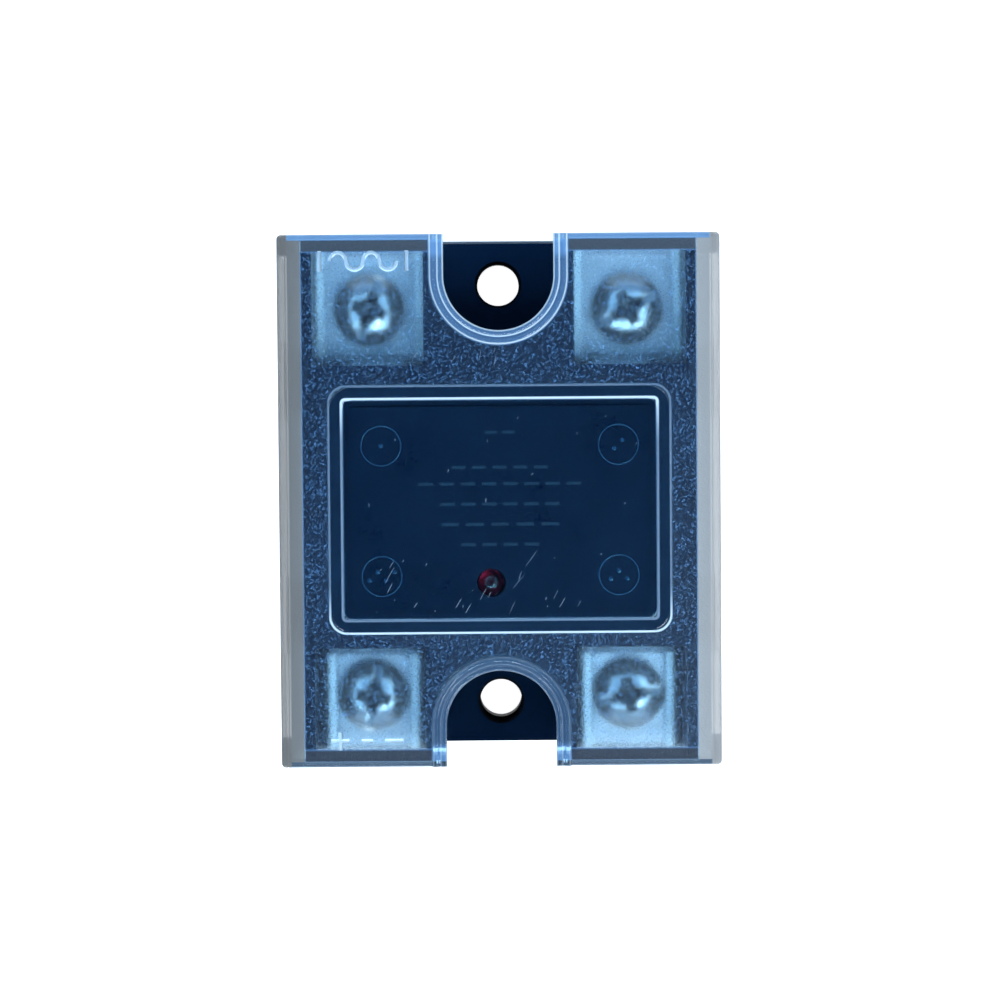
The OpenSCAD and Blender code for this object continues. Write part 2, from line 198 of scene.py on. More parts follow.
class Graph:
    """One material, or the world, and the nodes that make it."""

    def __init__(self, name: str, kind: str = "materials") -> None:
        """Starts an empty material called name, or a world if kind says worlds."""
        self.made = getattr(bpy.data, kind).new(name)
        self.made.use_nodes = True
        self.tree = self.made.node_tree
        self.tree.nodes.clear()

    def node(self, kind: str, settings: dict | None = None, inputs: dict | None = None) -> bpy.types.Node:
        """Adds a node.

        Args:
            kind: Blender's type name of the node.
            settings: The node's own settings; stops holds a ramp's (place, colour) pairs from 0 to 1.
            inputs: Values or links of its sockets, by name or number.

        Returns:
            The new node.
        """
        made = self.tree.nodes.new(kind)
        for key, value in (settings or {}).items():
            if key == "stops":
                ramp = made.color_ramp.elements
                for place, _ in value[1:-1]:
                    ramp.new(place)
                for stop, (_, colour) in zip(ramp, value):
                    stop.color = (*colour, 1)
            else:
                setattr(made, key, value)
        for key, value in (inputs or {}).items():
            self.feed(made.inputs[key], value)
        return made

    def feed(self, socket: Socket, value: object) -> None:
        """Sets or links one socket.

        Args:
            socket: The input.
            value: A Field, another node's output, a number, or a tuple of them.
        """
        if isinstance(value, Field):
            value = value.socket
        if isinstance(value, Socket):
            self.tree.links.new(value, socket)
        elif socket.type == "RGBA" and len(value) == 3:
            socket.default_value = (*value, 1)
        else:
            socket.default_value = value

    def place(self) -> Field:
        """Gives the point on the piece at rest, in millimetres."""
        where = self.node("ShaderNodeTexCoord").outputs["Object"]
        return self.scaled(Field(self, where), (1 / MM,) * 3)

    def scaled(self, vector: Field, by: Sequence[float]) -> Field:
        """Scales a vector axis by axis."""
        node = self.node("ShaderNodeVectorMath", {"operation": "MULTIPLY"}, {0: vector, 1: tuple(by)})
        return Field(self, node.outputs[0])

    def axes(self, vector: Field) -> tuple[Field, Field, Field]:
        """Splits a vector into x, y and z."""
        node = self.node("ShaderNodeSeparateXYZ", {}, {0: vector})
        return Field(self, node.outputs[0]), Field(self, node.outputs[1]), Field(self, node.outputs[2])

    def noise(self, vector: Field, size: float, detail: float = 2.0, roughness: float = 0.5) -> Field:
        """Adds a cloudy pattern from 0 to 1.

        Args:
            vector: Point in millimetres.
            size: Size of its patches in millimetres.
            detail: Number of finer layers.
            roughness: How strong the finer layers are.

        Returns:
            The pattern.
        """
        inputs = {"Vector": vector, "Scale": 1 / size, "Detail": detail, "Roughness": roughness}
        return Field(self, self.node("ShaderNodeTexNoise", {}, inputs).outputs[0])

    def mix(self, share: Field | float, first: Field | Colour, second: Field | Colour) -> Field:
        """Mixes two colours.

        Args:
            share: How much of second shows, from 0 to 1.
            first: Colour at 0.
            second: Colour at 1.

        Returns:
            The mixed colour.
        """
        node = self.node("ShaderNodeMix", {"data_type": "RGBA"}, {0: share, 6: first, 7: second})
        return Field(self, node.outputs[2])

    def bump(self, height: Field, depth: float) -> Field:
        """Turns a height pattern into a normal.

        Args:
            height: Pattern from 0 to 1.
            depth: Real height of 1, in millimetres.

        Returns:
            The bumped normal.
        """
        inputs = {"Height": height, "Distance": depth * MM, "Strength": 1.0}
        return Field(self, self.node("ShaderNodeBump", {}, inputs).outputs[0])

    def principled(self, inputs: dict) -> Socket:
        """Adds a Principled shader with these sockets and gives its output."""
        return self.node("ShaderNodeBsdfPrincipled", {}, inputs).outputs[0]

    def blend(self, share: Field, first: Socket, second: Socket) -> Socket:
        """Mixes two shaders by share."""
        return self.node("ShaderNodeMixShader", {}, {0: share, 1: first, 2: second}).outputs[0]

    def lets_lamps_through(self, shader: Socket, tint: Colour) -> Socket:
        """Makes a clear shader pass lamp light, tinted, to what lies behind it."""
        clear = self.node("ShaderNodeBsdfTransparent", {}, {0: tint}).outputs[0]
        from_lamp = Field(self, self.node("ShaderNodeLightPath").outputs["Is Shadow Ray"])
        return self.blend(from_lamp, shader, clear)

    def finished(self, shader: Socket) -> bpy.types.Material:
        """Shows shader as the material's surface and gives the material."""
        self.node("ShaderNodeOutputMaterial", {}, {0: shader})
        return self.made


# ---- finishes ----


@dataclass(frozen=True)
class Moulding:
    """Moulded or cast opaque plastic with a fine grain."""

    name: str
    colour: Colour
    faded: Colour
    roughness: float = 0.42
    grain: float = 0.16
    depth: float = 0.004
    specular: float = 0.5

    def material(self) -> bpy.types.Material:
        """Builds the material."""
        g = Graph(self.name)
        at = g.place()
        cloud = g.noise(at, 6.0, 3.0)
        grain = g.noise(at, self.grain, 2.0, 0.6)
        return g.finished(g.principled({
            "Base Color": g.mix(0.6 * cloud + 0.4 * grain, self.colour, self.faded),
            "Roughness": self.roughness + 0.12 * (cloud - 0.5) + 0.08 * (grain - 0.5),
            "Specular IOR Level": self.specular,
            "Normal": g.bump(grain, self.depth),
        }))


@dataclass(frozen=True)
class BodyPlastic(Moulding):
    """Plastic of the housing, polished on its two ears, with a painted sheen on the ears at one end and
    painted shade inside the ears' holes.
    """

    polished_below: float = 7.9
    polish: float = 0.13
    # Colour of the painted sheen that lightens the ears' floors towards the output end, and the span of y
    # over which it sets in
    painted_sheen: Colour = (0.0045, 0.021, 0.06)
    painted_sheen_y: tuple[float, float] = (20.0, 25.0)
    # Colour of the painted shade on the walls of the ears' holes
    ear_hole_shade: Colour = (0.004, 0.005, 0.007)

    def material(self) -> bpy.types.Material:
        """Builds the material."""
        g = Graph(self.name)
        at = g.place()
        x, y, z = g.axes(at)
        cloud = g.noise(at, 6.0, 3.0)
        grain = g.noise(at, self.grain, 2.0, 0.6)
        above = z.step(self.polished_below, self.polished_below + 0.3)
        spread = self.roughness + 0.12 * (cloud - 0.5) + 0.08 * (grain - 0.5)
        plain = g.mix(0.6 * cloud + 0.4 * grain, self.colour, self.faded)
        # Painted sheen: the polished ears' floors are lightened towards the output end, as if lit there
        sheen_share = (1 - above) * y.step(*self.painted_sheen_y) * (0.7 + 0.6 * cloud * grain)
        skin = g.principled({
            "Base Color": g.mix(sheen_share, plain, self.painted_sheen),
            "Roughness": self.polish + above * (spread - self.polish),
            "Specular IOR Level": self.specular,
            "Normal": g.bump(0.12 * grain + 0.88 * grain * above, self.depth),
        })
        # Painted shade: the walls of the ears' holes get a dark matt colour in place of the shade inside them
        hole_shading = g.principled({"Base Color": self.ear_hole_shade, "Roughness": 0.9, "Specular IOR Level": 0.0})
        in_hole = reach(x, abs(y) - HOLE_Y).step(HOLE_R + 0.32, HOLE_R + 0.22)
        return g.finished(g.blend(in_hole, skin, hole_shading))


class Lay(Enum):
    """Direction in which a metal surface was rolled or brushed."""

    ALONG_X = (0.04, 1.0, 1.0)
    ALONG_Y = (1.0, 0.04, 1.0)
    NONE = (1.0, 1.0, 1.0)


@dataclass(frozen=True)
class Metal:
    """Rolled, turned or plated metal with streaks, stains and dulled patches."""

    name: str
    colour: Colour
    stain: Colour
    roughness: float = 0.28
    lay: Lay = Lay.NONE
    streak: float = 0.25
    depth: float = 0.004
    stained: float = 0.5
    metal: float = 1.0

    def _painted_light(self, g: Graph, at: Field) -> tuple[Field | float, Colour, float]:
        """Gives where light or shade is painted on the metal, its colour and how far it loses its metal look;
        plain metal has none.
        """
        return 0.0, self.stain, 0.0

    def material(self) -> bpy.types.Material:
        """Builds the material."""
        g = Graph(self.name)
        at = g.place()
        streaks = g.noise(g.scaled(at, self.lay.value), self.streak, 3.0, 0.6)
        cloud = g.noise(at, 2.4, 4.0, 0.6)
        spots = cloud.step(0.52, 0.72)
        colour = g.mix(self.stained * spots, self.colour, self.stain)
        bright = tuple(min(1.0, 1.12 * c) for c in self.colour)
        # Painted light or shade that a subclass lays over the metal's own colour
        painted_share, paint, dull = self._painted_light(g, at)
        return g.finished(g.principled({
            "Base Color": g.mix(painted_share, g.mix(0.35 * streaks.step(0.35, 0.7), colour, bright), paint),
            "Metallic": self.metal * (1.0 - dull * painted_share),
            "Roughness": self.roughness + 0.16 * (streaks - 0.5) + 0.14 * spots + 0.3 * dull * painted_share,
            "Normal": g.bump(streaks, self.depth),
        }))


@dataclass(frozen=True)
class StripMetal(Metal):
    """Plated terminal strip with a painted highlight along its upper edges."""

    edge_z: float = 19.9
    painted_highlight: Colour = (0.86, 0.97, 1.0)

    def _painted_light(self, g: Graph, at: Field) -> tuple[Field | float, Colour, float]:
        """Paints the highlight along the upper edges."""
        return g.axes(at)[2].step(self.edge_z - 0.05, self.edge_z), self.painted_highlight, 0.6


@dataclass(frozen=True)
class ScrewMetal(Metal):
    """Plated screw with painted shade in its recess and on the side of its head."""

    crown: float = 2.6
    recess_r: float = 2.2
    painted_shade: Colour = (0.09, 0.1, 0.11)

    def _painted_light(self, g: Graph, at: Field) -> tuple[Field | float, Colour, float]:
        """Paints shade into the recess and onto the side of the head outside the slot, which lies along x."""
        x, y, z = g.axes(at)
        r = reach(x, y)
        recess = r.step(self.recess_r, self.recess_r - 0.3) * z.step(self.crown - 0.5, self.crown - 0.95)
        side = 0.75 * r.step(2.7, 3.5) * abs(y).step(0.45, 0.65)
        return (recess * z.step(0.0, 0.4)).most(side * z.step(-0.1, 0.1)), self.painted_shade, 0.3


@dataclass(frozen=True)
class PlateMetal(Metal):
    """Base plate metal, with painted shade on the walls of the mounting holes."""

    hole_shade: Colour = (0.012, 0.014, 0.018)

    def _painted_light(self, g: Graph, at: Field) -> tuple[Field | float, Colour, float]:
        """Paints shade onto the walls of the holes."""
        x, y, _ = g.axes(at)
        return reach(x, abs(y) - HOLE_Y).step(HOLE_R + 0.25, HOLE_R + 0.02), self.hole_shade, 1.0


@dataclass(frozen=True)
class Ceramic:
    """Fired substrate or coated disc with pores and a faint mottle."""

    name: str
    colour: Colour
    mottle: Colour
    roughness: float = 0.5

    def material(self) -> bpy.types.Material:
        """Builds the material."""
        g = Graph(self.name)
        at = g.place()
        cloud = g.noise(at, 1.8, 4.0, 0.6)
        pores = g.noise(at, 0.09, 1.0).step(0.62, 0.7)
        return g.finished(g.principled({
            "Base Color": g.mix(cloud.step(0.4, 0.7), self.colour, self.mottle),
            "Roughness": self.roughness + 0.2 * pores,
            "Coat Weight": 0.2 - 0.15 * pores,
            "Coat Roughness": 0.2,
            "Normal": g.bump(1 - pores, 0.004),
        }))


@dataclass(frozen=True)
class BandedLacquer:
    """Lacquered resistor or diode body with painted bands across its axis, which lies along X."""

    name: str
    colour: Colour
    lead: Colour
    middle: float
    half: float
    bands: tuple[tuple[float, Colour], ...]
    band: float = 0.5

    def material(self) -> bpy.types.Material:
        """Builds the material."""
        g = Graph(self.name)
        at = g.place()
        x = g.axes(at)[0] - self.middle
        cloud = g.noise(at, 0.7, 3.0)
        colour = g.mix(0.3 * cloud, self.colour, tuple(0.6 * c for c in self.colour))
        for place, paint in self.bands:
            inside = abs(x - place).step(self.band / 2 + 0.04, self.band / 2)
            colour = g.mix(inside, colour, paint)
        body = abs(x).step(self.half + 0.03, self.half)
        return g.finished(g.principled({
            "Base Color": g.mix(body, self.lead, colour),
            "Metallic": 1 - body,
            "Roughness": 0.28 + 0.15 * cloud,
            "Coat Weight": 0.6 * body,
            "Coat Roughness": 0.08,
            "Normal": g.bump(cloud, 0.03),
        }))


@dataclass(frozen=True)
class BoardLaminate:
    """Glass-epoxy board with solder mask over tracks, and bare edges that show the weave."""

    name: str = "board_laminate"
    mask: Colour = (0.012, 0.085, 0.03)
    over_track: Colour = (0.03, 0.17, 0.06)
    edge: Colour = (0.42, 0.36, 0.17)
    weft: Colour = (0.3, 0.25, 0.11)
    bottom: float = 14.0
    top: float = 15.0

    def material(self) -> bpy.types.Material:
        """Builds the material."""
        g = Graph(self.name)
        at = g.place()
        x, y, z = g.axes(at)
        kind = {"feature": "DISTANCE_TO_EDGE", "distance": "CHEBYCHEV"}
        cells = {"Vector": g.scaled(at, (0.9, 0.9, 0.0)), "Scale": 0.4, "Randomness": 0.55}
        track = Field(g, g.node("ShaderNodeTexVoronoi", kind, cells).outputs[0]).step(0.16, 0.12)
        weave = ((x * 9.0).sine() * (y * 9.0).sine()) * 0.5 + 0.5
        face = z.step(self.bottom + 0.1, self.bottom + 0.06).most(z.step(self.top - 0.1, self.top - 0.06))
        skin = g.mix(track, self.mask, self.over_track)
        return g.finished(g.principled({
            "Base Color": g.mix(face, g.mix(weave, self.edge, self.weft), skin),
            "Roughness": 0.62 - 0.37 * face + 0.05 * weave,
            "Coat Weight": 0.5 * face,
            "Coat Roughness": 0.12,
            "Normal": g.bump(track + 0.15 * weave, 0.03),
        }))


@dataclass(frozen=True)
class CoverPlastic:
    """Clear plastic of the cover: satin faces, polished window, frame, collars and rims."""

    name: str = "cover_plastic"
    satin_tint: Colour = (0.6, 0.84, 0.98)
    clear_tint: Colour = (0.5, 0.85, 0.98)
    wall_tint: Colour = (0.9, 0.87, 0.84)
    haze: Colour = (0.15, 0.36, 0.7)
    # Painted shade over the cover's side strips: darker on the left, lighter on the right as if lit from that
    # side
    side_shade: Colour = (0.15, 0.145, 0.135)
    lit_side_shade: Colour = (0.33, 0.325, 0.315)
    shade: Colour = (0.006, 0.018, 0.04)
    pale_shade: Colour = (0.035, 0.055, 0.08)
    gleam: Colour = (0.72, 0.88, 0.98)
    dim_lip: Colour = (0.02, 0.045, 0.08)
    lit_lip: Colour = (0.14, 0.29, 0.5)
    lip_tint: Colour = (0.45, 0.72, 0.95)
    behind: Colour = (0.8, 0.88, 0.95)
    satin: float = 0.21
    polish: float = 0.04
    arch_r: float = 7.59
    glints_r: tuple[float, ...] = (6.02, 6.6, 7.42)
    wall_x: float = 22.85
    side_x: float = 21.35
    end_y: float = 26.85
    lip_y: float = 28.2

    def _line(self, distance: Field, middle: float, half: float) -> Field:
        """Is 1 along the line at that distance, and fades to 0 at half its width."""
        return abs(distance - middle).step(half, half * 0.4)

    def material(self) -> bpy.types.Material:
        """Builds the material."""
        g = Graph(self.name)
        at = g.place()
        x, y, z = g.axes(at)
        output = y.step(-5.0, 5.0)
        frame = rounded_box(x, y - WINDOW_Y, [side / 2 + FRAME_W for side in WINDOW], 2.0)
        from_arch = reach(x, (abs(y) - ARCH_Y).least(0.0))
        in_arch = from_arch.step(self.arch_r + 0.06, self.arch_r - 0.02)
        wall = abs(x).step(self.wall_x - 0.1, self.wall_x + 0.1)
        lip = abs(y).step(self.lip_y, self.lip_y + 0.1) * (1 - wall)
        bright = frame.step(0.06, -0.02).most(in_arch).most(lip)
        satin = (1 - bright) * (1 - 0.75 * wall)
        upper = z.step(26.2, 26.6)
        # Painted shade over the strips where the cover reaches past the housing's sides
        shaded_sides = abs(x).step(self.side_x - 0.1, self.side_x + 0.15) * upper
        end_on = abs(y).step(self.end_y, self.end_y + 0.3) * (1 - shaded_sides) * (1 - in_arch) * (1 - lip)
        raised = z.step(27.72, 27.82) * satin * (1 - wall)
        crest = in_arch * z.step(27.3, 27.5)
        # Painted highlights: lines along the frame's outer and inner edges, stronger on the edges that face
        # the near lamp, along the outermost end edge and on the collar crests
        outer = self._line(frame, -0.16, 0.18) * (0.4 + 0.6 * y.step(-9.0, -13.0))
        inner = self._line(frame, 0.13 - FRAME_W, 0.24) * (0.45 + 0.55 * y.step(6.0, 10.5))
        brink = 0.35 * abs(y).step(28.7, 28.82) * (1 - wall)
        lines = (outer.most(inner) * z.step(27.4, 27.6)).most(brink)
        for radius in self.glints_r:
            lines = lines.most((0.35 + 0.55 * output) * self._line(from_arch, radius, 0.12) * crest)
        ridge = frame.step(0.0, -0.1) * frame.step(-FRAME_W, 0.1 - FRAME_W)
        grain = g.noise(at, 0.24, 1.0, 0.6)
        cloud = g.noise(at, 5.0, 3.0)
        tint = g.mix(wall, g.mix(1 - bright, self.clear_tint, self.satin_tint), self.wall_tint)
        tint = g.mix(lip, tint, self.lip_tint)
        glass = g.principled({
            "Base Color": tint,
            "Roughness": self.polish + (self.satin - self.polish) * satin + 0.1 * satin * (grain - 0.5),
            "IOR": 1.49,
            "Transmission Weight": 1.0,
            "Normal": g.bump(satin * grain, 0.012),
        })
        haze = g.mix(cloud, self.haze, tuple(0.8 * c for c in self.haze))
        haze = g.mix(shaded_sides, haze, g.mix(x.step(-6.0, 6.0), self.side_shade, self.lit_side_shade))
        haze = g.mix(end_on, haze, g.mix(output, self.shade, self.pale_shade))
        haze = g.mix(lip, haze, g.mix(output, self.dim_lip, self.lit_lip))
        # gleam is the colour of the painted highlights on those lines and on the raised marks
        haze = g.mix(lines.most(0.8 * raised), haze, self.gleam)
        milky = g.principled({
            "Base Color": haze,
            "Roughness": 0.5,
            "Normal": g.bump(satin * grain, 0.03),
        })
        share = satin * (0.002 + 0.4 * (1 - wall) * grain.step(0.54, 0.78)) + 0.001
        ends = abs(y).step(26.0, 27.0)
        share = share.most(0.84 * shaded_sides).most(0.9 * end_on * (0.8 + 0.4 * grain)).most(0.012 * ridge)
        # Milkier collar crests, more at both ends of the cover and most at the output end, where this is
        # painted light on the lit crest
        share = share.most((0.2 + 0.22 * output + 0.35 * ends) * crest)
        share = share.most(0.8 * lines).most(0.4 * raised).most(0.75 * lip * (1 - in_arch))
        return g.finished(g.lets_lamps_through(g.blend(share, glass, milky), self.behind))


@dataclass(frozen=True)
class Resin:
    """Coloured clear resin of the indicator's lens."""

    name: str = "lens_resin"
    colour: Colour = (0.13, 0.005, 0.018)
    behind: Colour = (0.8, 0.12, 0.16)

    def material(self) -> bpy.types.Material:
        """Builds the material."""
        g = Graph(self.name)
        at = g.place()
        cloud = g.noise(at, 0.5, 2.0)
        glass = g.principled({
            "Base Color": g.mix(cloud, self.colour, tuple(0.75 * c for c in self.colour)),
            "Roughness": 0.04 + 0.05 * cloud,
            "IOR": 1.53,
            "Transmission Weight": 1.0,
            "Normal": g.bump(cloud, 0.01),
        })
        return g.finished(g.lets_lamps_through(glass, self.behind))


@lru_cache(maxsize=None)
def material_of(finish: "Finish") -> bpy.types.Material:
    """Builds a finish's material once and gives the same one after that."""
    return finish.material()


Finish = Moulding | Metal | Ceramic | BandedLacquer | BoardLaminate | CoverPlastic | Resin

NEW_ZINC, DULL_ZINC = (0.8, 0.88, 0.95), (0.56, 0.64, 0.72)

HOUSING_PLASTIC = BodyPlastic(
    "housing_plastic", (0.0005, 0.0042, 0.014), (0.0016, 0.01, 0.03), roughness=0.3, specular=0.3
)
# Lighter than the housing's own plastic: painted highlight on the raised pad rims and pips
RIM_PLASTIC = Moulding(
    "rim_plastic", (0.014, 0.038, 0.08), (0.024, 0.055, 0.11), roughness=0.2, depth=0.002
)
MARK_FILL = Moulding(
    "mark_fill", (0.012, 0.03, 0.06), (0.005, 0.018, 0.04), roughness=0.45, grain=0.3
)
ZINC = StripMetal(
    "terminal_zinc", NEW_ZINC, DULL_ZINC, roughness=0.32, lay=Lay.ALONG_Y, metal=0.85
)
CLAMP_ZINC = Metal(
    "clamp_zinc", NEW_ZINC, DULL_ZINC, roughness=0.36, lay=Lay.ALONG_X, metal=0.85
)
SCREW_ZINC = ScrewMetal("screw_zinc", (0.84, 0.82, 0.8), (0.52, 0.48, 0.43), roughness=0.2, depth=0.003)
NUT_ZINC = Metal("nut_zinc", (0.55, 0.53, 0.45), (0.35, 0.3, 0.2), roughness=0.36)
PLATE_METAL = PlateMetal(
    "plate_metal", (0.66, 0.68, 0.7), (0.5, 0.5, 0.49), roughness=0.3, lay=Lay.ALONG_X,
    streak=0.12, stained=0.3
)
TINNED = Metal("tinned_wire", (0.72, 0.72, 0.7), (0.45, 0.44, 0.4), roughness=0.3)
COPPER = Metal("pad_copper", (0.8, 0.4, 0.24), (0.42, 0.2, 0.12), roughness=0.35)
CLIP_COPPER = Metal("clip_copper", (0.85, 0.5, 0.3), (0.6, 0.55, 0.5), roughness=0.3, lay=Lay.ALONG_X)
SOLDER = Metal("solder", (0.55, 0.55, 0.54), (0.34, 0.34, 0.34), roughness=0.4, depth=0.02)
SILICON = Metal("chip_silicon", (0.2, 0.22, 0.27), (0.6, 0.6, 0.62), roughness=0.15)
ALUMINA = Ceramic("alumina", (0.82, 0.8, 0.74), (0.7, 0.68, 0.62))
POTTING = Moulding(
    "potting_resin", (0.012, 0.013, 0.015), (0.03, 0.03, 0.032), roughness=0.25, grain=0.8, depth=0.03
)
DARK_EPOXY = Moulding("package_epoxy", (0.012, 0.012, 0.014), (0.025, 0.025, 0.027), roughness=0.55)
CAP_RED = Moulding("capacitor_case", (0.35, 0.03, 0.012), (0.26, 0.02, 0.01), roughness=0.3)
WORN = Moulding("worn_plastic", (0.62, 0.78, 0.95), (0.4, 0.55, 0.75), roughness=0.5, depth=0.001)
DISC_BLUE = Ceramic("varistor_coat", (0.03, 0.12, 0.4), (0.02, 0.08, 0.3), roughness=0.35)


# ---- mesh helpers ----


def circle(radius: float, steps: int, middle: Sequence[float], squash: float = 1.0) -> Line:
    """Draws a circle, or an ellipse.

    Args:
        radius: Its radius.
        steps: Number of points.
        middle: Its centre.
        squash: Share of the radius that is left along the second axis.

    Returns:
        Its points, anticlockwise.
    """
    turn = [2 * math.pi * i / steps for i in range(steps)]
    return [(middle[0] + radius * math.cos(a), middle[1] + squash * radius * math.sin(a)) for a in turn]


class Shape:
    """A mesh put together ring by ring, in millimetres."""

    def __init__(self) -> None:
        """Starts empty."""
        self.points: list[tuple[float, float, float]] = []
        self.faces: list[tuple[int, ...]] = []

    def ring(self, points: Iterable[Sequence[float]]) -> list[int]:
        """Adds a ring of points and gives their numbers."""
        start = len(self.points)
        self.points.extend(tuple(p) for p in points)
        return list(range(start, len(self.points)))

    def skin(self, first: list[int], second: list[int]) -> None:
        """Joins two rings, either of which may be a single point.

        Args:
            first: The lower ring, turning anticlockwise seen from above.
            second: The upper ring.
        """
        count = max(len(first), len(second))
        for i in range(count):
            j = (i + 1) % count
            low = (first[i % len(first)], first[j % len(first)])
            high = (second[j % len(second)], second[i % len(second)])
            self.faces.append(tuple(dict.fromkeys(low + high)))

    def rows(self, rings: Sequence[Sequence[Sequence[float]]]) -> None:
        """Skins a row of rings, closed at each end by a flat face or by the single point there."""
        made = [self.ring(r) for r in rings]
        for a, b in zip(made, made[1:]):
            self.skin(a, b)
        if len(made[0]) > 1:
            self.faces.append(tuple(reversed(made[0])))
        if len(made[-1]) > 1:
            self.faces.append(tuple(made[-1]))

    def lathe(self, profile: Sequence[tuple[float, float]], steps: int, at: Sequence[float]) -> None:
        """Turns a profile about an upright axis.

        Args:
            profile: (radius, height) pairs, from the bottom to the top.
            steps: Number of facets round the axis.
            at: Place of the axis.
        """
        self.rows([
            [(*p, z) for p in circle(radius, steps if radius > 0 else 1, at)] for radius, z in profile
        ])

    def sweep(
        self, line: Sequence[Sequence[float]], profile: Sequence[Sequence[float]], closed: bool = False
    ) -> None:
        """Runs a profile along a flat line.

        Args:
            line: Points of the line, which has no sharp bends.
            profile: (offset to the right of the line, height) pairs.
            closed: True if the line runs back into its start.
        """
        rings = []
        for i, (x, y) in enumerate(line):
            before = line[i - 1] if i or closed else line[0]
            after = line[(i + 1) % len(line)] if i + 1 < len(line) or closed else line[-1]
            dx, dy = after[0] - before[0], after[1] - before[1]
            span = math.hypot(dx, dy)
            rings.append([(x + o * dy / span, y - o * dx / span, z) for o, z in profile])
        if closed:
            made = [self.ring(r) for r in rings]
            for i, ring in enumerate(made):
                self.skin(ring, made[(i + 1) % len(made)])
        else:
            self.rows(rings)

    def mesh(self, name: str) -> bpy.types.Mesh:
        """Makes the mesh, in metres, with its faces pointing out."""
        mesh = bpy.data.meshes.new(name)
        mesh.from_pydata([tuple(c * MM for c in p) for p in self.points], [], self.faces)
        mesh.validate()
        bm = bmesh.new()
        bm.from_mesh(mesh)
        bmesh.ops.recalc_face_normals(bm, faces=bm.faces)
        bm.to_mesh(mesh)
        bm.free()
        return mesh

    def piece(self, name: str, home: bpy.types.Collection | None = None) -> Piece:
        """Makes an object called name from the mesh, in home or straight in the scene."""
        made = bpy.data.objects.new(name, self.mesh(name))
        (home or bpy.context.scene.collection).objects.link(made)
        return made


def rounded_outline(
    width: float, length: float, radius: float, middle: Sequence[float], steps: int = 6
) -> Line:
    """Draws a rounded rectangle.

    Args:
        width: Its size along x.
        length: Its size along y.
        radius: Radius of its corners.
        middle: Its centre.
        steps: Facets in each corner.

    Returns:
        Its points, anticlockwise.
    """
    r = max(radius, 0.02)
    points = []
    for i, (sx, sy) in enumerate(((1, -1), (1, 1), (-1, 1), (-1, -1))):
        cx, cy = middle[0] + sx * (width / 2 - r), middle[1] + sy * (length / 2 - r)
        for step in range(steps + 1):
            a = math.pi / 2 * (i - 1 + step / steps)
            points.append((cx + r * math.cos(a), cy + r * math.sin(a)))
    return points


def applied(piece: Piece) -> Piece:
    """Gives piece the mesh that its modifiers make, and drops them."""
    graph = bpy.context.evaluated_depsgraph_get()
    mesh = bpy.data.meshes.new_from_object(piece.evaluated_get(graph))
    piece.modifiers.clear()
    piece.data = mesh
    return piece


def cut(piece: Piece, cutters: Sequence[Piece]) -> Piece:
    """Cuts closed shapes out of piece and removes the cutters.

    Args:
        piece: What is cut.
        cutters: Closed shapes.

    Returns:
        The same piece.
    """
    for cutter in cutters:
        knife = piece.modifiers.new(cutter.name, "BOOLEAN")
        knife.operation = "DIFFERENCE"
        knife.solver = "EXACT"
        knife.object = cutter
    applied(piece)
    for cutter in cutters:
        bpy.data.objects.remove(cutter)
    return piece


def healed(piece: Piece, gap: float = 0.002) -> Piece:
    """Merges the vertices of piece that lie within gap millimetres of each other."""
    bm = bmesh.new()
    bm.from_mesh(piece.data)
    bmesh.ops.remove_doubles(bm, verts=bm.verts, dist=gap * MM)
    bmesh.ops.dissolve_degenerate(bm, dist=gap * MM, edges=bm.edges)
    bm.to_mesh(piece.data)
    bm.free()
    return piece


def smoothed(piece: Piece, angle: float = 35.0) -> Piece:
    """Shades piece smooth except over edges sharper than angle, in degrees."""
    bm = bmesh.new()
    bm.from_mesh(piece.data)
    for f in bm.faces:
        f.smooth = True
    for e in bm.edges:
        e.smooth = e.calc_face_angle(0.0) < math.radians(angle)
    bm.to_mesh(piece.data)
    bm.free()
    return piece


def bevelled(piece: Piece, radius: float, segments: int, angle: float) -> bpy.types.Modifier:
    """Rounds the sharp edges of a piece with a modifier, which leaves its mesh as it is.

    Args:
        piece: The piece.
        radius: Width of the rounding in millimetres.
        segments: Number of facets across it.
        angle: Edges sharper than this many degrees are rounded.

    Returns:
        The modifier.
    """
    edge = piece.modifiers.new("round", "BEVEL")
    edge.width = radius * MM
    edge.segments = segments
    edge.limit_method = "ANGLE"
    edge.angle_limit = math.radians(angle)
    edge.use_clamp_overlap = True
    return edge


def rounded(node: Piece, radius: float, segments: int) -> None:
    """Rounds the edges of a frame node with modifiers, over a weld and without its flat facets.

    Args:
        node: The frame node's object.
        radius: Width of the rounding in millimetres.
        segments: Number of facets across it.
    """
    weld = node.modifiers.new("weld", "WELD")
    weld.merge_threshold = 1e-6
    flat = node.modifiers.new("flat", "DECIMATE")
    flat.decimate_type = "DISSOLVE"
    flat.angle_limit = math.radians(1.0)
    bevelled(node, radius, segments, 35.0).harden_normals = True


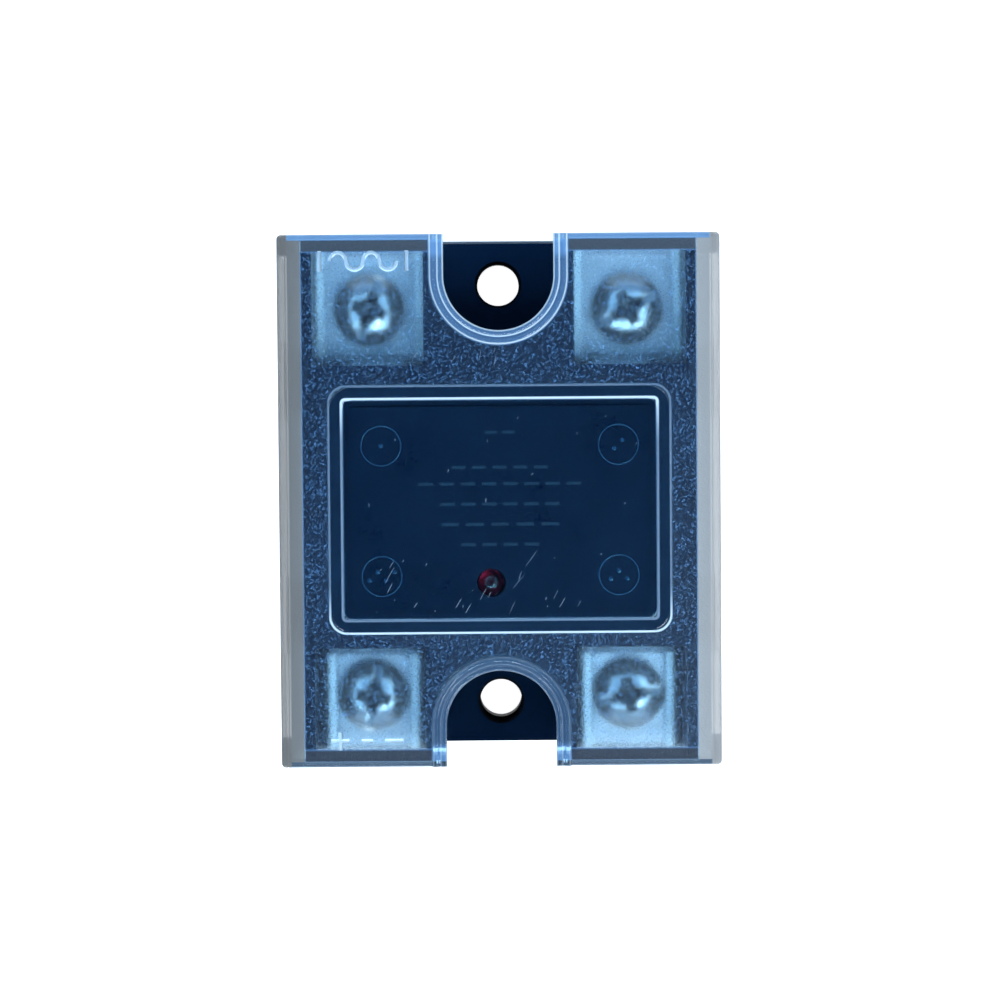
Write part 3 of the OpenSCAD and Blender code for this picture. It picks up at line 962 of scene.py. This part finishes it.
@dataclass
class Assembly:
    """What every sub-assembly shares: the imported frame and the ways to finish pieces."""

    frame: dict

    def dress(self, node: str, finish: Finish, radius: float, segments: int = 2) -> None:
        """Gives a frame node its finish and rounded edges.

        Args:
            node: Name of the node.
            finish: Its finish.
            radius: Width of its rounded edges in millimetres.
            segments: Facets across them.
        """
        piece = self.frame["nodes"][node]
        material = material_of(finish)
        if piece.material_slots:
            for held in piece.material_slots:
                held.material = material
        else:
            piece.data.materials.append(material)
        rounded(piece, radius, segments)
        log.info("dressed %s with %s", node, finish.name)

    def fit(self, piece: Piece, finish: Finish, body: str, slot: str, stands_for: Sequence[str] = ()) -> None:
        """Finishes a new piece and fixes it to a body.

        Args:
            piece: The new piece, in place.
            finish: Its finish.
            body: Body that it moves with.
            slot: The record's material slot that it belongs to; not used.
            stands_for: Frame nodes that it replaces.
        """
        piece.data.materials.clear()
        piece.data.materials.append(material_of(finish))
        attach(piece, body)
        if stands_for:
            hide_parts(*stands_for)
        log.info("built %s on %s with %s", piece.name, body, finish.name)


# ---- sub-assemblies ----


@dataclass
class PowerStage(Assembly):
    """Base plate, soldered power stack and potting."""

    def build(self) -> None:
        """Dresses the plate and every layer that stands on it."""
        self.dress("base_plate", PLATE_METAL, 0.25, 3)
        self.dress("solder_layer", SOLDER, 0.05)
        self.dress("ceramic_substrate", ALUMINA, 0.05)
        self.dress("copper_pads", COPPER, 0.06)
        self.dress("thyristor_chips", SILICON, 0.04)
        self.dress("chip_clips", CLIP_COPPER, 0.08)
        self.dress("gate_pins", TINNED, 0.05)
        self.dress("potting_compound", POTTING, 0.2)


@dataclass
class Housing(Assembly):
    """Moulded housing and its data panel; rows are (y, half length, number of dashes)."""

    edge: float = 0.12
    panel_z: float = 26.0
    sink: float = 0.13
    pads: tuple[tuple[float, float], ...] = ((-12.9, 6.0), (12.9, 6.0), (12.9, -8.2), (-12.9, -8.2))
    pad_r: float = 2.16
    line_r: float = 0.08
    pip: tuple[tuple[float, float], ...] = ((0, 0), (0.33, 0), (0.3, 0.08), (0.18, 0.12), (0, 0.13))
    pip_step: float = 0.9
    rows: tuple[tuple[float, float, int], ...] = (
        (7.4, 1.9, 2), (3.6, 5.6, 5), (1.8, 9.2, 8), (-0.4, 6.8, 6), (-2.6, 6.8, 5), (-4.8, 4.6, 4)
    )
    dash_share: float = 0.72
    dash_gap: float = 0.06
    dash_w: float = 0.29
    fill_top: float = 0.02

    def _pad_rims(self) -> Shape:
        """Makes the fine raised line round each number pad."""
        shape = Shape()
        bead = circle(self.line_r, 8, (0, self.panel_z), squash=0.6)
        for pad in self.pads:
            shape.sweep(circle(self.pad_r, 72, pad), bead, closed=True)
        return shape

    def _pips(self) -> Shape:
        """Makes the dots that number the pads, one to four."""
        shape = Shape()
        profile = [(r, self.panel_z - self.sink + z) for r, z in self.pip]
        for count, (x, y) in enumerate(self.pads, 1):
            for i in range(count):
                px = x + (i - (count - 1) / 2) * self.pip_step
                py = y + (i % 2) * self.pip_step - (self.pip_step / 2 if count > 1 else 0)
                shape.lathe(profile, 20, (px, py))
        return shape

    def _row_fill(self) -> Shape:
        """Makes the filling of the sunk dashes."""
        shape = Shape()
        for y, half, count in self.rows:
            pitch = 2 * half / count
            long = pitch * self.dash_share - self.dash_gap
            for i in range(count):
                line = rounded_outline(long, self.dash_w, 0.1, (-half + pitch * (i + 0.5), y), 3)
                shape.rows([[(*p, self.panel_z - deep) for p in line] for deep in (self.sink, self.fill_top)])
        return shape

    def build(self) -> None:
        """Dresses the housing, and rims and marks its data panel."""
        self.dress("housing", HOUSING_PLASTIC, self.edge, 3)
        self.fit(smoothed(self._pips().piece("pad_pips")), RIM_PLASTIC, "root", "housing")
        self.fit(self._row_fill().piece("data_row_fill"), MARK_FILL, "root", "housing")
        self.fit(smoothed(self._pad_rims().piece("pad_rims"), 80), RIM_PLASTIC, "root", "housing")


@dataclass
class Screw:
    """Pan head machine screw with a cross recess and a slot; z is 0 at the underside of its head."""

    head_d: float = 7.8
    head_h: float = 2.6
    side_h: float = 0.9
    thread_d: float = 4.0
    core_d: float = 3.25
    pitch: float = 0.7
    shank: float = 8.0
    tip_h: float = 0.35
    under_r: float = 0.3
    facets: int = 56
    rows_per_turn: int = 9
    dome_rows: int = 15
    slot_w: float = 1.1
    slot_d: float = 1.3
    arm: float = 2.15
    arm_w: float = 1.25
    recess_d: float = 1.8

    def _radius(self, z: float, angle: float) -> float:
        """Gives the thread's radius at a height below the head.

        Args:
            z: Height, 0 at the underside of the head.
            angle: Direction round the axis.

        Returns:
            Distance of the surface from the axis.
        """
        turn = (z / self.pitch - angle / (2 * math.pi)) % 1.0
        ridge = max(0.0, min(1.0, 1.35 - abs(turn - 0.5) * 3.4))
        fade = min(1.0, max(0.0, (-z - 0.5) / 0.7), max(0.0, (z + self.shank - self.tip_h) / 0.6))
        return self.core_d / 2 + (self.thread_d - self.core_d) / 2 * ridge * fade

    def _blank(self) -> Shape:
        """Makes the uncut screw as one closed skin."""
        shape = Shape()
        angles = [2 * math.pi * i / self.facets for i in range(self.facets)]
        rings: list[list[tuple[float, float, float]]] = [[(0.0, 0.0, -self.shank)]]

        def turned(radius: Callable[[float], float], z: float) -> None:
            """Adds a ring whose radius follows the direction."""
            rings.append([(radius(a) * math.cos(a), radius(a) * math.sin(a), z) for a in angles])

        turned(lambda a: self.core_d / 2 - self.tip_h, -self.shank)
        rows = round((self.shank - self.tip_h) / self.pitch * self.rows_per_turn)
        for i in range(rows + 1):
            z = -self.shank + self.tip_h + (self.shank - self.tip_h) * i / rows - (0.02 if i == rows else 0)
            turned(lambda a: self._radius(z, a), z)
        rise = self.head_h - self.side_h
        dome = ((self.head_d / 2) ** 2 + rise ** 2) / (2 * rise)
        edge = self.head_d / 2
        turned(lambda a: self.core_d / 2 + 0.12, 0.0)
        turned(lambda a: edge - self.under_r, 0.0)
        for lean in (30, 60, 90):
            bend = math.radians(lean)
            r = edge - self.under_r + self.under_r * math.sin(bend)
            turned(lambda a: r, self.under_r - self.under_r * math.cos(bend))
        turned(lambda a: edge, self.side_h - 0.15)
        for i in range(1, self.dome_rows):
            r = (edge - 0.02) * math.cos(math.pi / 2 * i / self.dome_rows)
            turned(lambda a: r, math.sqrt(dome ** 2 - r ** 2) - (dome - self.head_h))
        rings.append([(0.0, 0.0, self.head_h)])
        shape.rows(rings)
        return shape

    def _star(self, reach: float, half: float, chamfer: float, z: float) -> list[tuple[float, float, float]]:
        """Outlines the cross recess at one depth.

        Args:
            reach: Length of an arm from the axis.
            half: Half the width of an arm.
            chamfer: How far the inner corners are cut back.
            z: Height.

        Returns:
            Its corners, anticlockwise.
        """
        corners = []
        for i in range(4):
            a = math.pi / 2 * i
            for u, v in ((reach, -half), (reach, half), (half + chamfer, half), (half, half + chamfer)):
                corners.append((u * math.cos(a) - v * math.sin(a), u * math.sin(a) + v * math.cos(a), z))
        return corners

    def _cutters(self) -> list[Piece]:
        """Makes the shapes of the cross recess and of the slot."""
        top = self.head_h
        cross = Shape()
        half = self.arm_w / 2
        cross.rows([
            [(0.0, 0.0, top - self.recess_d - 0.45)],
            self._star(self.arm * 0.55, half * 0.6, 0.15, top - self.recess_d),
            self._star(self.arm * 0.92, half, 0.42, top - 0.35),
            self._star(self.arm * 1.15, half * 1.1, 0.5, top + 0.6),
        ])
        slot = Shape()
        wide, far = self.slot_w / 2, self.head_d
        for lift, w in ((top - self.slot_d, wide * 0.85), (top + 1.0, wide * 1.1)):
            slot.ring([(-far, -w, lift), (far, -w, lift), (far, w, lift), (-far, w, lift)])
        slot.skin([0, 1, 2, 3], [4, 5, 6, 7])
        slot.faces += [(3, 2, 1, 0), (4, 5, 6, 7)]
        return [cross.piece("cross_cutter"), slot.piece("slot_cutter")]

    def mesh(self) -> bpy.types.Mesh:
        """Makes the finished screw's mesh, in metres, on the origin."""
        piece = cut(self._blank().piece("screw_blank"), self._cutters())
        bevelled(piece, 0.09, 2, 38)
        smoothed(applied(piece), 50)
        mesh = piece.data
        bpy.data.objects.remove(piece)
        return mesh


@dataclass
class Terminals(Assembly):
    """The four screw terminals with their nuts, wire clamps and screws."""

    screw: Screw = field(default_factory=Screw)
    turns: tuple[float, ...] = (72, 27, 10, 80)
    strips: tuple[str, ...] = (
        "output_terminal_1", "output_terminal_2", "input_terminal_3", "input_terminal_4"
    )

    def build(self) -> None:
        """Dresses the strips, nuts and clamps and puts a cut screw in each terminal."""
        for strip in self.strips:
            self.dress(strip, ZINC, 0.14, 3)
        self.dress("captive_nuts", NUT_ZINC, 0.15)
        mesh = self.screw.mesh()
        for n, turn in enumerate(self.turns, 1):
            self.dress(f"wire_clamp_{n}", CLAMP_ZINC, 0.14, 3)
            node = f"terminal_screw_{n}"
            low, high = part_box(node)
            screw = bpy.data.objects.new(f"cross_slot_screw_{n}", mesh.copy())
            bpy.context.scene.collection.objects.link(screw)
            screw.location = ((low.x + high.x) / 2, (low.y + high.y) / 2, low.z + self.screw.shank * MM)
            screw.rotation_euler.z = math.radians(turn)
            self.fit(screw, SCREW_ZINC, f"screw_{n}", "screw_metal", (node,))


@dataclass
class ControlBoard(Assembly):
    """Control board with its parts and the indicator."""

    lens_steps: int = 40
    lens_r: float = 1.45
    flange: tuple[tuple[float, float], ...] = (
        (0, 0), (1.75, 0), (1.9, 0.12), (1.9, 0.88), (1.78, 1), (1.45, 1.02)
    )
    cup_z: float = 2.0
    cup_h: float = 0.9
    cup: tuple[tuple[float, float], ...] = ((0, 0), (0.6, 0), (0.85, 0.9), (0.75, 0.9), (0.4, 0.4), (0, 0.4))
    post_x: float = 0.8
    post_r: float = 0.28

    def build(self) -> None:
        """Dresses the board's parts and builds the indicator."""
        tin = (0.7, 0.7, 0.68)
        self.dress("control_board", BoardLaminate(), 0.08)
        self.dress("optocoupler", DARK_EPOXY, 0.12)
        self.dress("drive_transistor", DARK_EPOXY, 0.1)
        self.dress("snubber_capacitor", CAP_RED, 0.4, 4)
        self.dress("surge_absorber", DISC_BLUE, 0.5, 4)
        self.dress("led_leads", TINNED, 0.04)
        brown, black, orange, gold = (0.1, 0.04, 0.02), (0.01, 0.01, 0.01), (0.7, 0.2, 0.03), (0.5, 0.35, 0.1)
        self.dress("input_resistor", BandedLacquer(
            "input_resistor_lacquer", (0.55, 0.42, 0.24), tin, -7.0, 3.2,
            ((-2.2, brown), (-1.1, black), (0.0, brown), (2.1, gold))), 0.3, 4)
        self.dress("gate_resistor", BandedLacquer(
            "gate_resistor_lacquer", (0.25, 0.4, 0.55), tin, -10.2, 2.0,
            ((-1.4, orange), (-0.7, orange), (0.0, black), (1.3, brown)), 0.3), 0.3, 4)
        self.dress("snubber_resistor", BandedLacquer(
            "snubber_resistor_lacquer", (0.28, 0.33, 0.27), tin, -8.4, 4.7,
            ((-3.2, orange), (-1.8, black), (-0.4, black), (3.0, gold)), 0.8), 0.4, 4)
        self.dress("input_diode", BandedLacquer(
            "diode_glass", (0.02, 0.02, 0.022), tin, 5.6, 2.1, ((1.4, (0.5, 0.5, 0.5)),)), 0.2, 3)
        self._indicator()

    def _indicator(self) -> None:
        """Builds the lens of the indicator with the cup and the two posts inside it."""
        low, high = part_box("indicator_led")
        x, y = (low.x + high.x) / 2 / MM, (low.y + high.y) / 2 / MM
        foot, top = low.z / MM, high.z / MM
        lens = Shape()
        profile = [(r, foot + z) for r, z in self.flange]
        for lean in range(0, 90, 9):
            a = math.radians(lean)
            profile.append((self.lens_r * math.cos(a), top - self.lens_r + self.lens_r * math.sin(a)))
        lens.lathe([*profile, (0, top)], self.lens_steps, (x, y))
        self.fit(smoothed(lens.piece("indicator_lens")), Resin(), "root", "indicator_led", ("indicator_led",))
        cup = Shape()
        base, start = foot + self.cup_z, foot + 0.2
        cup.lathe([(r, base + z) for r, z in self.cup], 28, (x - 0.25, y))
        for side, r, end in ((-1, self.post_r, base - 0.05), (1, 0.22, base + self.cup_h)):
            post = [(0, start), (self.post_r, start), (r, end), (0, end)]
            cup.lathe(post, 12, (x + side * self.post_x, y))
        self.fit(smoothed(cup.piece("indicator_cup")), TINNED, "root", "tinned_wire")


@dataclass
class Cover(Assembly):
    """Clear clip-on cover: plate, window frame, collars, side walls, end lips and raised marks."""

    half_w: float = 23.95
    half_l: float = 28.9
    top: float = 27.7
    crest: float = 28.0
    plate_t: float = 1.2
    wall_t: float = 1.1
    wall_foot: float = 8.5
    collar_r: float = 5.95
    collar_t: float = 1.3
    crest_t: float = 1.62
    collar_foot: float = 8.0
    lip_t: float = 0.65
    lip_foot: float = 24.6
    window_r: float = 1.1
    window_z: float = 27.5
    catch_x: tuple[float, float] = (20.0, 26.0)
    catch_y: float = 13.0
    catch_half: float = 4.3
    catch_z: tuple[float, float] = (10.7, 13.9)
    mark_at: tuple[float, float] = (-14.6, 26.0)
    mark_r: float = 0.26
    wave_r: float = 0.9
    scratch_z: float = 0.012
    seed: int = 7

    def _block(
        self, x: Sequence[float], y: Sequence[float], z: Sequence[float], r: float, edge: float
    ) -> Shape:
        """Makes an upright block with rounded corners and a rounded top.

        Args:
            x: Lowest and highest x.
            y: Lowest and highest y.
            z: Lowest and highest z.
            r: Radius of its upright corners.
            edge: Radius of its top edge.

        Returns:
            The block.
        """
        shape = Shape()
        width, length = x[1] - x[0], y[1] - y[0]
        middle = ((x[0] + x[1]) / 2, (y[0] + y[1]) / 2)
        foot = min(0.12, edge)
        levels = [(foot, z[0]), (0.0, z[0] + foot)]
        for lean in range(0, 91, 18):
            bend = math.radians(lean)
            levels.append((edge * (1 - math.cos(bend)), z[1] - edge * (1 - math.sin(bend))))
        rings = []
        for inset, level in levels:
            outline = rounded_outline(width - 2 * inset, length - 2 * inset, r - inset, middle)
            rings.append([(*p, level) for p in outline])
        shape.rows(rings)
        return shape

    def _arch_line(self, side: int, radius: float, end: float) -> Line:
        """Draws the U line of a collar.

        Args:
            side: 1 at the output end and -1 at the input end.
            radius: Radius of the U.
            end: Distance of its open ends from the middle of the cover.

        Returns:
            Points of the line.
        """
        bend = [math.pi + math.pi * i / 40 for i in range(41)]
        line = [(-radius, end), (-radius, (end + ARCH_Y) / 2)]
        line += [(radius * math.cos(a), ARCH_Y + radius * math.sin(a)) for a in bend]
        line += [(radius, (end + ARCH_Y) / 2), (radius, end)]
        return [(side * px, side * py) for px, py in line]

    def _plate(self) -> Piece:
        """Makes the top plate with its two notches."""
        shape = self._block(
            (-self.half_w + 0.5, self.half_w - 0.5), (-self.half_l + 0.25, self.half_l - 0.25),
            (self.top - self.plate_t, self.top), 0.7, 0.22,
        )
        cutters = []
        for side in (1, -1):
            notch = Shape()
            line = self._arch_line(side, self.collar_r + self.collar_t / 2, 40)
            notch.rows([[(*p, self.top - 3) for p in line], [(*p, self.top + 3) for p in line]])
            cutters.append(notch.piece("notch_cutter"))
        return cut(shape.piece("moulded_cover"), cutters)

    def _collar(self, side: int) -> Shape:
        """Makes one collar with a double ridge on its crest."""
        t, wide, foot = self.collar_t, self.crest_t, self.collar_foot
        ridges = (
            (0.0, 0.3), (0.06, 0.17), (0.2, 0.1), (0.44, 0.1), (0.57, 0.2), (0.7, 0.26), (0.84, 0.2),
            (0.95, 0.08), (1.07, 0.01), (1.2, 0.0), (1.35, 0.02), (1.5, 0.1), (wide, 0.26)
        )
        profile = [(0.1, foot), (0.0, foot + 0.12), *((across, self.crest - drop) for across, drop in ridges)]
        profile += [(wide, self.top - 0.2), (t, self.top - 0.5), (t, foot + 0.12), (t - 0.1, foot)]
        shape = Shape()
        shape.sweep(self._arch_line(side, self.collar_r, self.half_l - 0.03), profile)
        return shape

    def _frame(self) -> Shape:
        """Makes the ridge round the window, with a flat crest between two rounded edges."""
        top, low, inner_r, outer_r = self.crest, self.window_z - 0.4, 0.34, 0.3
        profile = [(-0.12, low), (-0.12, self.window_z - 0.02), (0.0, self.window_z + 0.06)]
        for lean in (0, 25, 50, 75, 90):
            bend = math.radians(lean)
            profile.append((inner_r * (1 - math.cos(bend)), top - inner_r * (1 - math.sin(bend))))
        profile += [(FRAME_W / 2 - 0.1, top), (FRAME_W / 2 + 0.1, top)]
        for lean in (90, 65, 40, 15, 0):
            bend = math.radians(lean)
            across = FRAME_W - outer_r + outer_r * math.cos(bend)
            profile.append((across, top - outer_r * (1 - math.sin(bend))))
        profile += [(FRAME_W + 0.05, low)]
        shape = Shape()
        line = rounded_outline(*WINDOW, self.window_r, (0.0, WINDOW_Y), 8)
        shape.sweep(line, profile, closed=True)
        return shape

    def _marks(self) -> list[Shape]:
        """Makes the raised marks: a wave between bars at the output, plus and minus at the input."""
        x, y = self.mark_at
        r = self.wave_r
        lines = [[(x + s * 4.7, y - 1.1), (x + s * 4.7, y + 1.1)] for s in (-1, 1)]
        wave = []
        for i in range(4):
            turn = [math.radians(a) for a in (range(180, -1, -15) if i % 2 == 0 else range(180, 361, 15))]
            arc = [(x - 3 * r + 2 * r * i + r * math.cos(a), y + r * math.sin(a)) for a in turn]
            wave += arc[1:] if wave else arc
        lines.append(wave)
        for start, end in ((-3.9, -1.95), (1.95, 3.9), (-0.6, 0.6)):
            lines.append([(x + start, -y), (x + end, -y)])
        lines.append([(x - 2.9, -y - 0.98), (x - 2.9, -y + 0.98)])
        marks = []
        for line in lines:
            mark = Shape()
            mark.sweep(line, circle(self.mark_r, 10, (0, self.top - 0.04)))
            marks.append(mark)
        return marks

    def _parts(self) -> list[Shape]:
        """Makes everything that stands on the plate or hangs from it."""
        parts = [self._frame(), self._collar(1), self._collar(-1), *self._marks()]
        ends, tall = (-self.half_l, self.half_l), (self.wall_foot, self.top + 0.06)
        for s in (-1, 1):
            edges = sorted((s * self.half_w, s * (self.half_w - self.wall_t)))
            parts.append(self._block(edges, ends, tall, 0.5, 0.42))
            for end in (-1, 1):
                across = sorted((s * (self.collar_r + self.collar_t - 0.2), s * (self.half_w - 0.6)))
                along = sorted((end * self.half_l, end * (self.half_l - self.lip_t)))
                parts.append(self._block(across, along, (self.lip_foot, self.top - 0.07), 0.28, 0.26))
        return parts

    def _moulding(self) -> Piece:
        """Joins all parts into one closed solid and cuts the window and the catch holes."""
        plate = self._plate()
        bunch = bpy.data.collections.new("cover_parts")
        for i, part in enumerate(self._parts()):
            part.piece(f"cover_part_{i}", bunch)
        bpy.context.scene.collection.children.link(bunch)
        union = plate.modifiers.new("union", "BOOLEAN")
        union.operation = "UNION"
        union.solver = "EXACT"
        union.operand_type = "COLLECTION"
        union.collection = bunch
        applied(plate)
        for made in list(bunch.objects):
            bpy.data.objects.remove(made)
        bpy.data.collections.remove(bunch)
        pocket = Shape()
        inner = rounded_outline(WINDOW[0] + 0.1, WINDOW[1] + 0.1, self.window_r, (0, WINDOW_Y), 8)
        pocket.rows([[(*p, z) for p in inner] for z in (self.window_z, self.crest + 2)])
        cutters = [pocket.piece("window_cutter")]
        for sx in (-1, 1):
            for sy in (-1, 1):
                hole = Shape()
                y0, y1 = sy * self.catch_y - self.catch_half, sy * self.catch_y + self.catch_half
                x0, x1 = sorted(sx * x for x in self.catch_x)
                hole.rows([[(x0, y0, z), (x1, y0, z), (x1, y1, z), (x0, y1, z)] for z in self.catch_z])
                cutters.append(hole.piece("catch_cutter"))
        return healed(cut(plate, cutters))

    def _scratches(self) -> Shape:
        """Makes the fine scratches on the window and beside the collar, each a thin closed sliver."""
        dice = random.Random(self.seed)
        even, near = dice.uniform, dice.gauss
        groups = (  # number and height of the strokes, then how x, y, lean and length are drawn
            (15, self.window_z, (even, -13, 13), (even, -12.0, -6.0), (near, 60, 7), (even, 0.4, 2.4)),
            (26, self.window_z, (even, -15, 15), (even, -12, 10), (even, 35, 95), (even, 0.12, 0.6)),
            (5, self.top, (near, -1.0, 3.0), (near, 15.3, 0.8), (near, 70, 10), (even, 0.6, 1.6)),
        )
        strokes = [
            (z, *(draw(a, b) for draw, a, b in draws)) for count, z, *draws in groups for _ in range(count)
        ]
        shape = Shape()
        for z, x, y, lean, length in strokes:
            a = math.radians(lean)
            along, across = (math.cos(a), math.sin(a)), (-math.sin(a), math.cos(a))
            half_w = dice.uniform(0.007, 0.016)
            bow = dice.uniform(-0.02, 0.02) * length
            rings = []
            for i in range(7):
                t = i / 6 - 0.5
                swell = 1 - (2 * t) ** 2
                cx = x + along[0] * t * length + across[0] * bow * swell
                cy = y + along[1] * t * length + across[1] * bow * swell
                w = half_w * swell ** 0.6
                if swell < 1e-6:
                    rings.append([(cx, cy, z)])
                else:
                    right = (cx + across[0] * w, cy + across[1] * w, z)
                    left = (cx - across[0] * w, cy - across[1] * w, z)
                    rings.append([right, (cx, cy, z + self.scratch_z), left, (cx, cy, z - self.scratch_z)])
            shape.rows(rings)
        return shape

    def build(self) -> None:
        """Builds the cover in place of its frame node, with the scratches on it."""
        cover = smoothed(self._moulding(), 40)
        flats = cover.modifiers.new("flats", "WEIGHTED_NORMAL")
        flats.keep_sharp = True
        self.fit(cover, CoverPlastic(), "cover", "cover", ("cover",))
        self.fit(self._scratches().piece("window_scratches"), WORN, "cover", "cover")


# ---- studio ----


@dataclass
class Studio:
    """White floor with an opening of half size foot under the plate, soft lamps and the camera."""

    lens: float = 115.06
    eye: tuple[float, float, float] = (-0.6, 15.3, 373.3)
    turn: tuple[float, float, float] = (-2.52, -0.12, -0.45)
    half: float = 1500.0
    drop: float = 0.02
    foot: tuple[float, float] = (22.2, 28.9)
    foot_r: float = 0.8
    hole_r: float = 2.6
    sky_stops: tuple[tuple[float, Colour], ...] = (
        (0.0, (0.3, 0.34, 0.4)), (0.5, (0.34, 0.46, 0.62)), (0.93, (0.45, 0.68, 1.0)),
        (0.965, (0.01, 0.025, 0.05)), (1.0, (0.008, 0.02, 0.04))
    )

    def floor(self) -> None:
        """Lays the floor, clear from below and open under the plate, so that the underside shows."""
        far = self.half
        shape = Shape()
        corners = shape.ring([(-far, -far, 0), (far, -far, 0), (far, far, 0), (-far, far, 0)])
        shape.faces.append(tuple(corners))
        floor = shape.piece("studio_floor")
        g = Graph("studio_floor")
        white = g.principled({
            "Base Color": (0.9, 0.9, 0.9),
            "Roughness": 0.9,
            "Emission Color": (1, 1, 1),
            "Emission Strength": 1.0,
        })
        under = Field(g, g.node("ShaderNodeNewGeometry").outputs["Backfacing"])
        clear = g.node("ShaderNodeBsdfTransparent").outputs[0]
        x, y, _ = g.axes(g.place())
        hole = reach(x, abs(y) - HOLE_Y).step(self.hole_r, self.hole_r - 0.05)
        opened = rounded_box(x, y, self.foot, self.foot_r).step(0.0, -0.05) * (1 - hole)
        floor.data.materials.append(g.finished(g.blend(under.most(opened), white, clear)))
        floor.location.z = -self.drop * MM

    def lamp(
        self, name: str, at: Sequence[float], size: Sequence[float], glow: float, colour: Colour
    ) -> None:
        """Hangs a soft lamp that shines at the middle of the relay.

        Args:
            name: Its name.
            at: Its place.
            size: Its length and width.
            glow: Its brightness, where 1 is that of a white page in full light.
            colour: Its colour.
        """
        data = bpy.data.lights.new(name, "AREA")
        data.shape = "RECTANGLE"
        data.size, data.size_y = size[0] * MM, size[1] * MM
        data.energy = glow * math.pi * data.size * data.size_y
        data.color = colour
        lamp = bpy.data.objects.new(name, data)
        lamp.location = Vector(at) * MM
        lamp.rotation_euler = (Vector((0, 0, 20)) * MM - lamp.location).to_track_quat("-Z", "Y").to_euler()
        bpy.context.scene.collection.objects.link(lamp)

    def sky(self) -> None:
        """Surrounds the scene with grey at the horizon, bright blue higher up and dark overhead."""
        g = Graph("studio", "worlds")
        height = g.axes(Field(g, g.node("ShaderNodeTexCoord").outputs["Generated"]))[2]
        ramp = g.node("ShaderNodeValToRGB", {"stops": self.sky_stops}, {0: height})
        light = g.node("ShaderNodeBackground", {}, {0: ramp.outputs[0]})
        g.node("ShaderNodeOutputWorld", {}, {0: light.outputs[0]})
        bpy.context.scene.world = g.made

    def camera(self) -> None:
        """Sets the camera up."""
        data = bpy.data.cameras.new("camera")
        data.lens = self.lens
        data.sensor_width = 36
        data.clip_start = 0.01
        data.clip_end = 10
        camera = bpy.data.objects.new("camera", data)
        camera.location = Vector(self.eye) * MM
        camera.rotation_euler = [math.radians(a) for a in self.turn]
        bpy.context.scene.collection.objects.link(camera)
        bpy.context.scene.camera = camera

    def build(self) -> None:
        """Makes the floor, the light and the camera."""
        self.floor()
        self.sky()
        self.lamp("key", (150, -170, 430), (110, 110), 10, (1.0, 0.97, 0.92))
        self.lamp("near_strip", (0, -260, 300), (520, 40), 14, (0.85, 0.94, 1.0))
        self.lamp("far_strip", (0, 260, 300), (520, 40), 3.5, (0.7, 0.88, 1.0))
        self.lamp("left_strip", (-260, 0, 300), (520, 30), 4.5, (0.7, 0.88, 1.0))
        self.lamp("right_strip", (260, 0, 300), (520, 30), 7.5, (0.85, 0.94, 1.0))
        self.camera()
        bpy.context.scene.view_settings.view_transform = "Standard"


def main() -> None:
    """Builds the relay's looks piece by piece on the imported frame."""
    logging.basicConfig(level=logging.INFO, format="%(name)s: %(message)s")
    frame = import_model()
    for assembly in (PowerStage, Housing, Terminals, ControlBoard, Cover):
        assembly(frame).build()
    Studio().build()


if __name__ == "__main__":
    main()
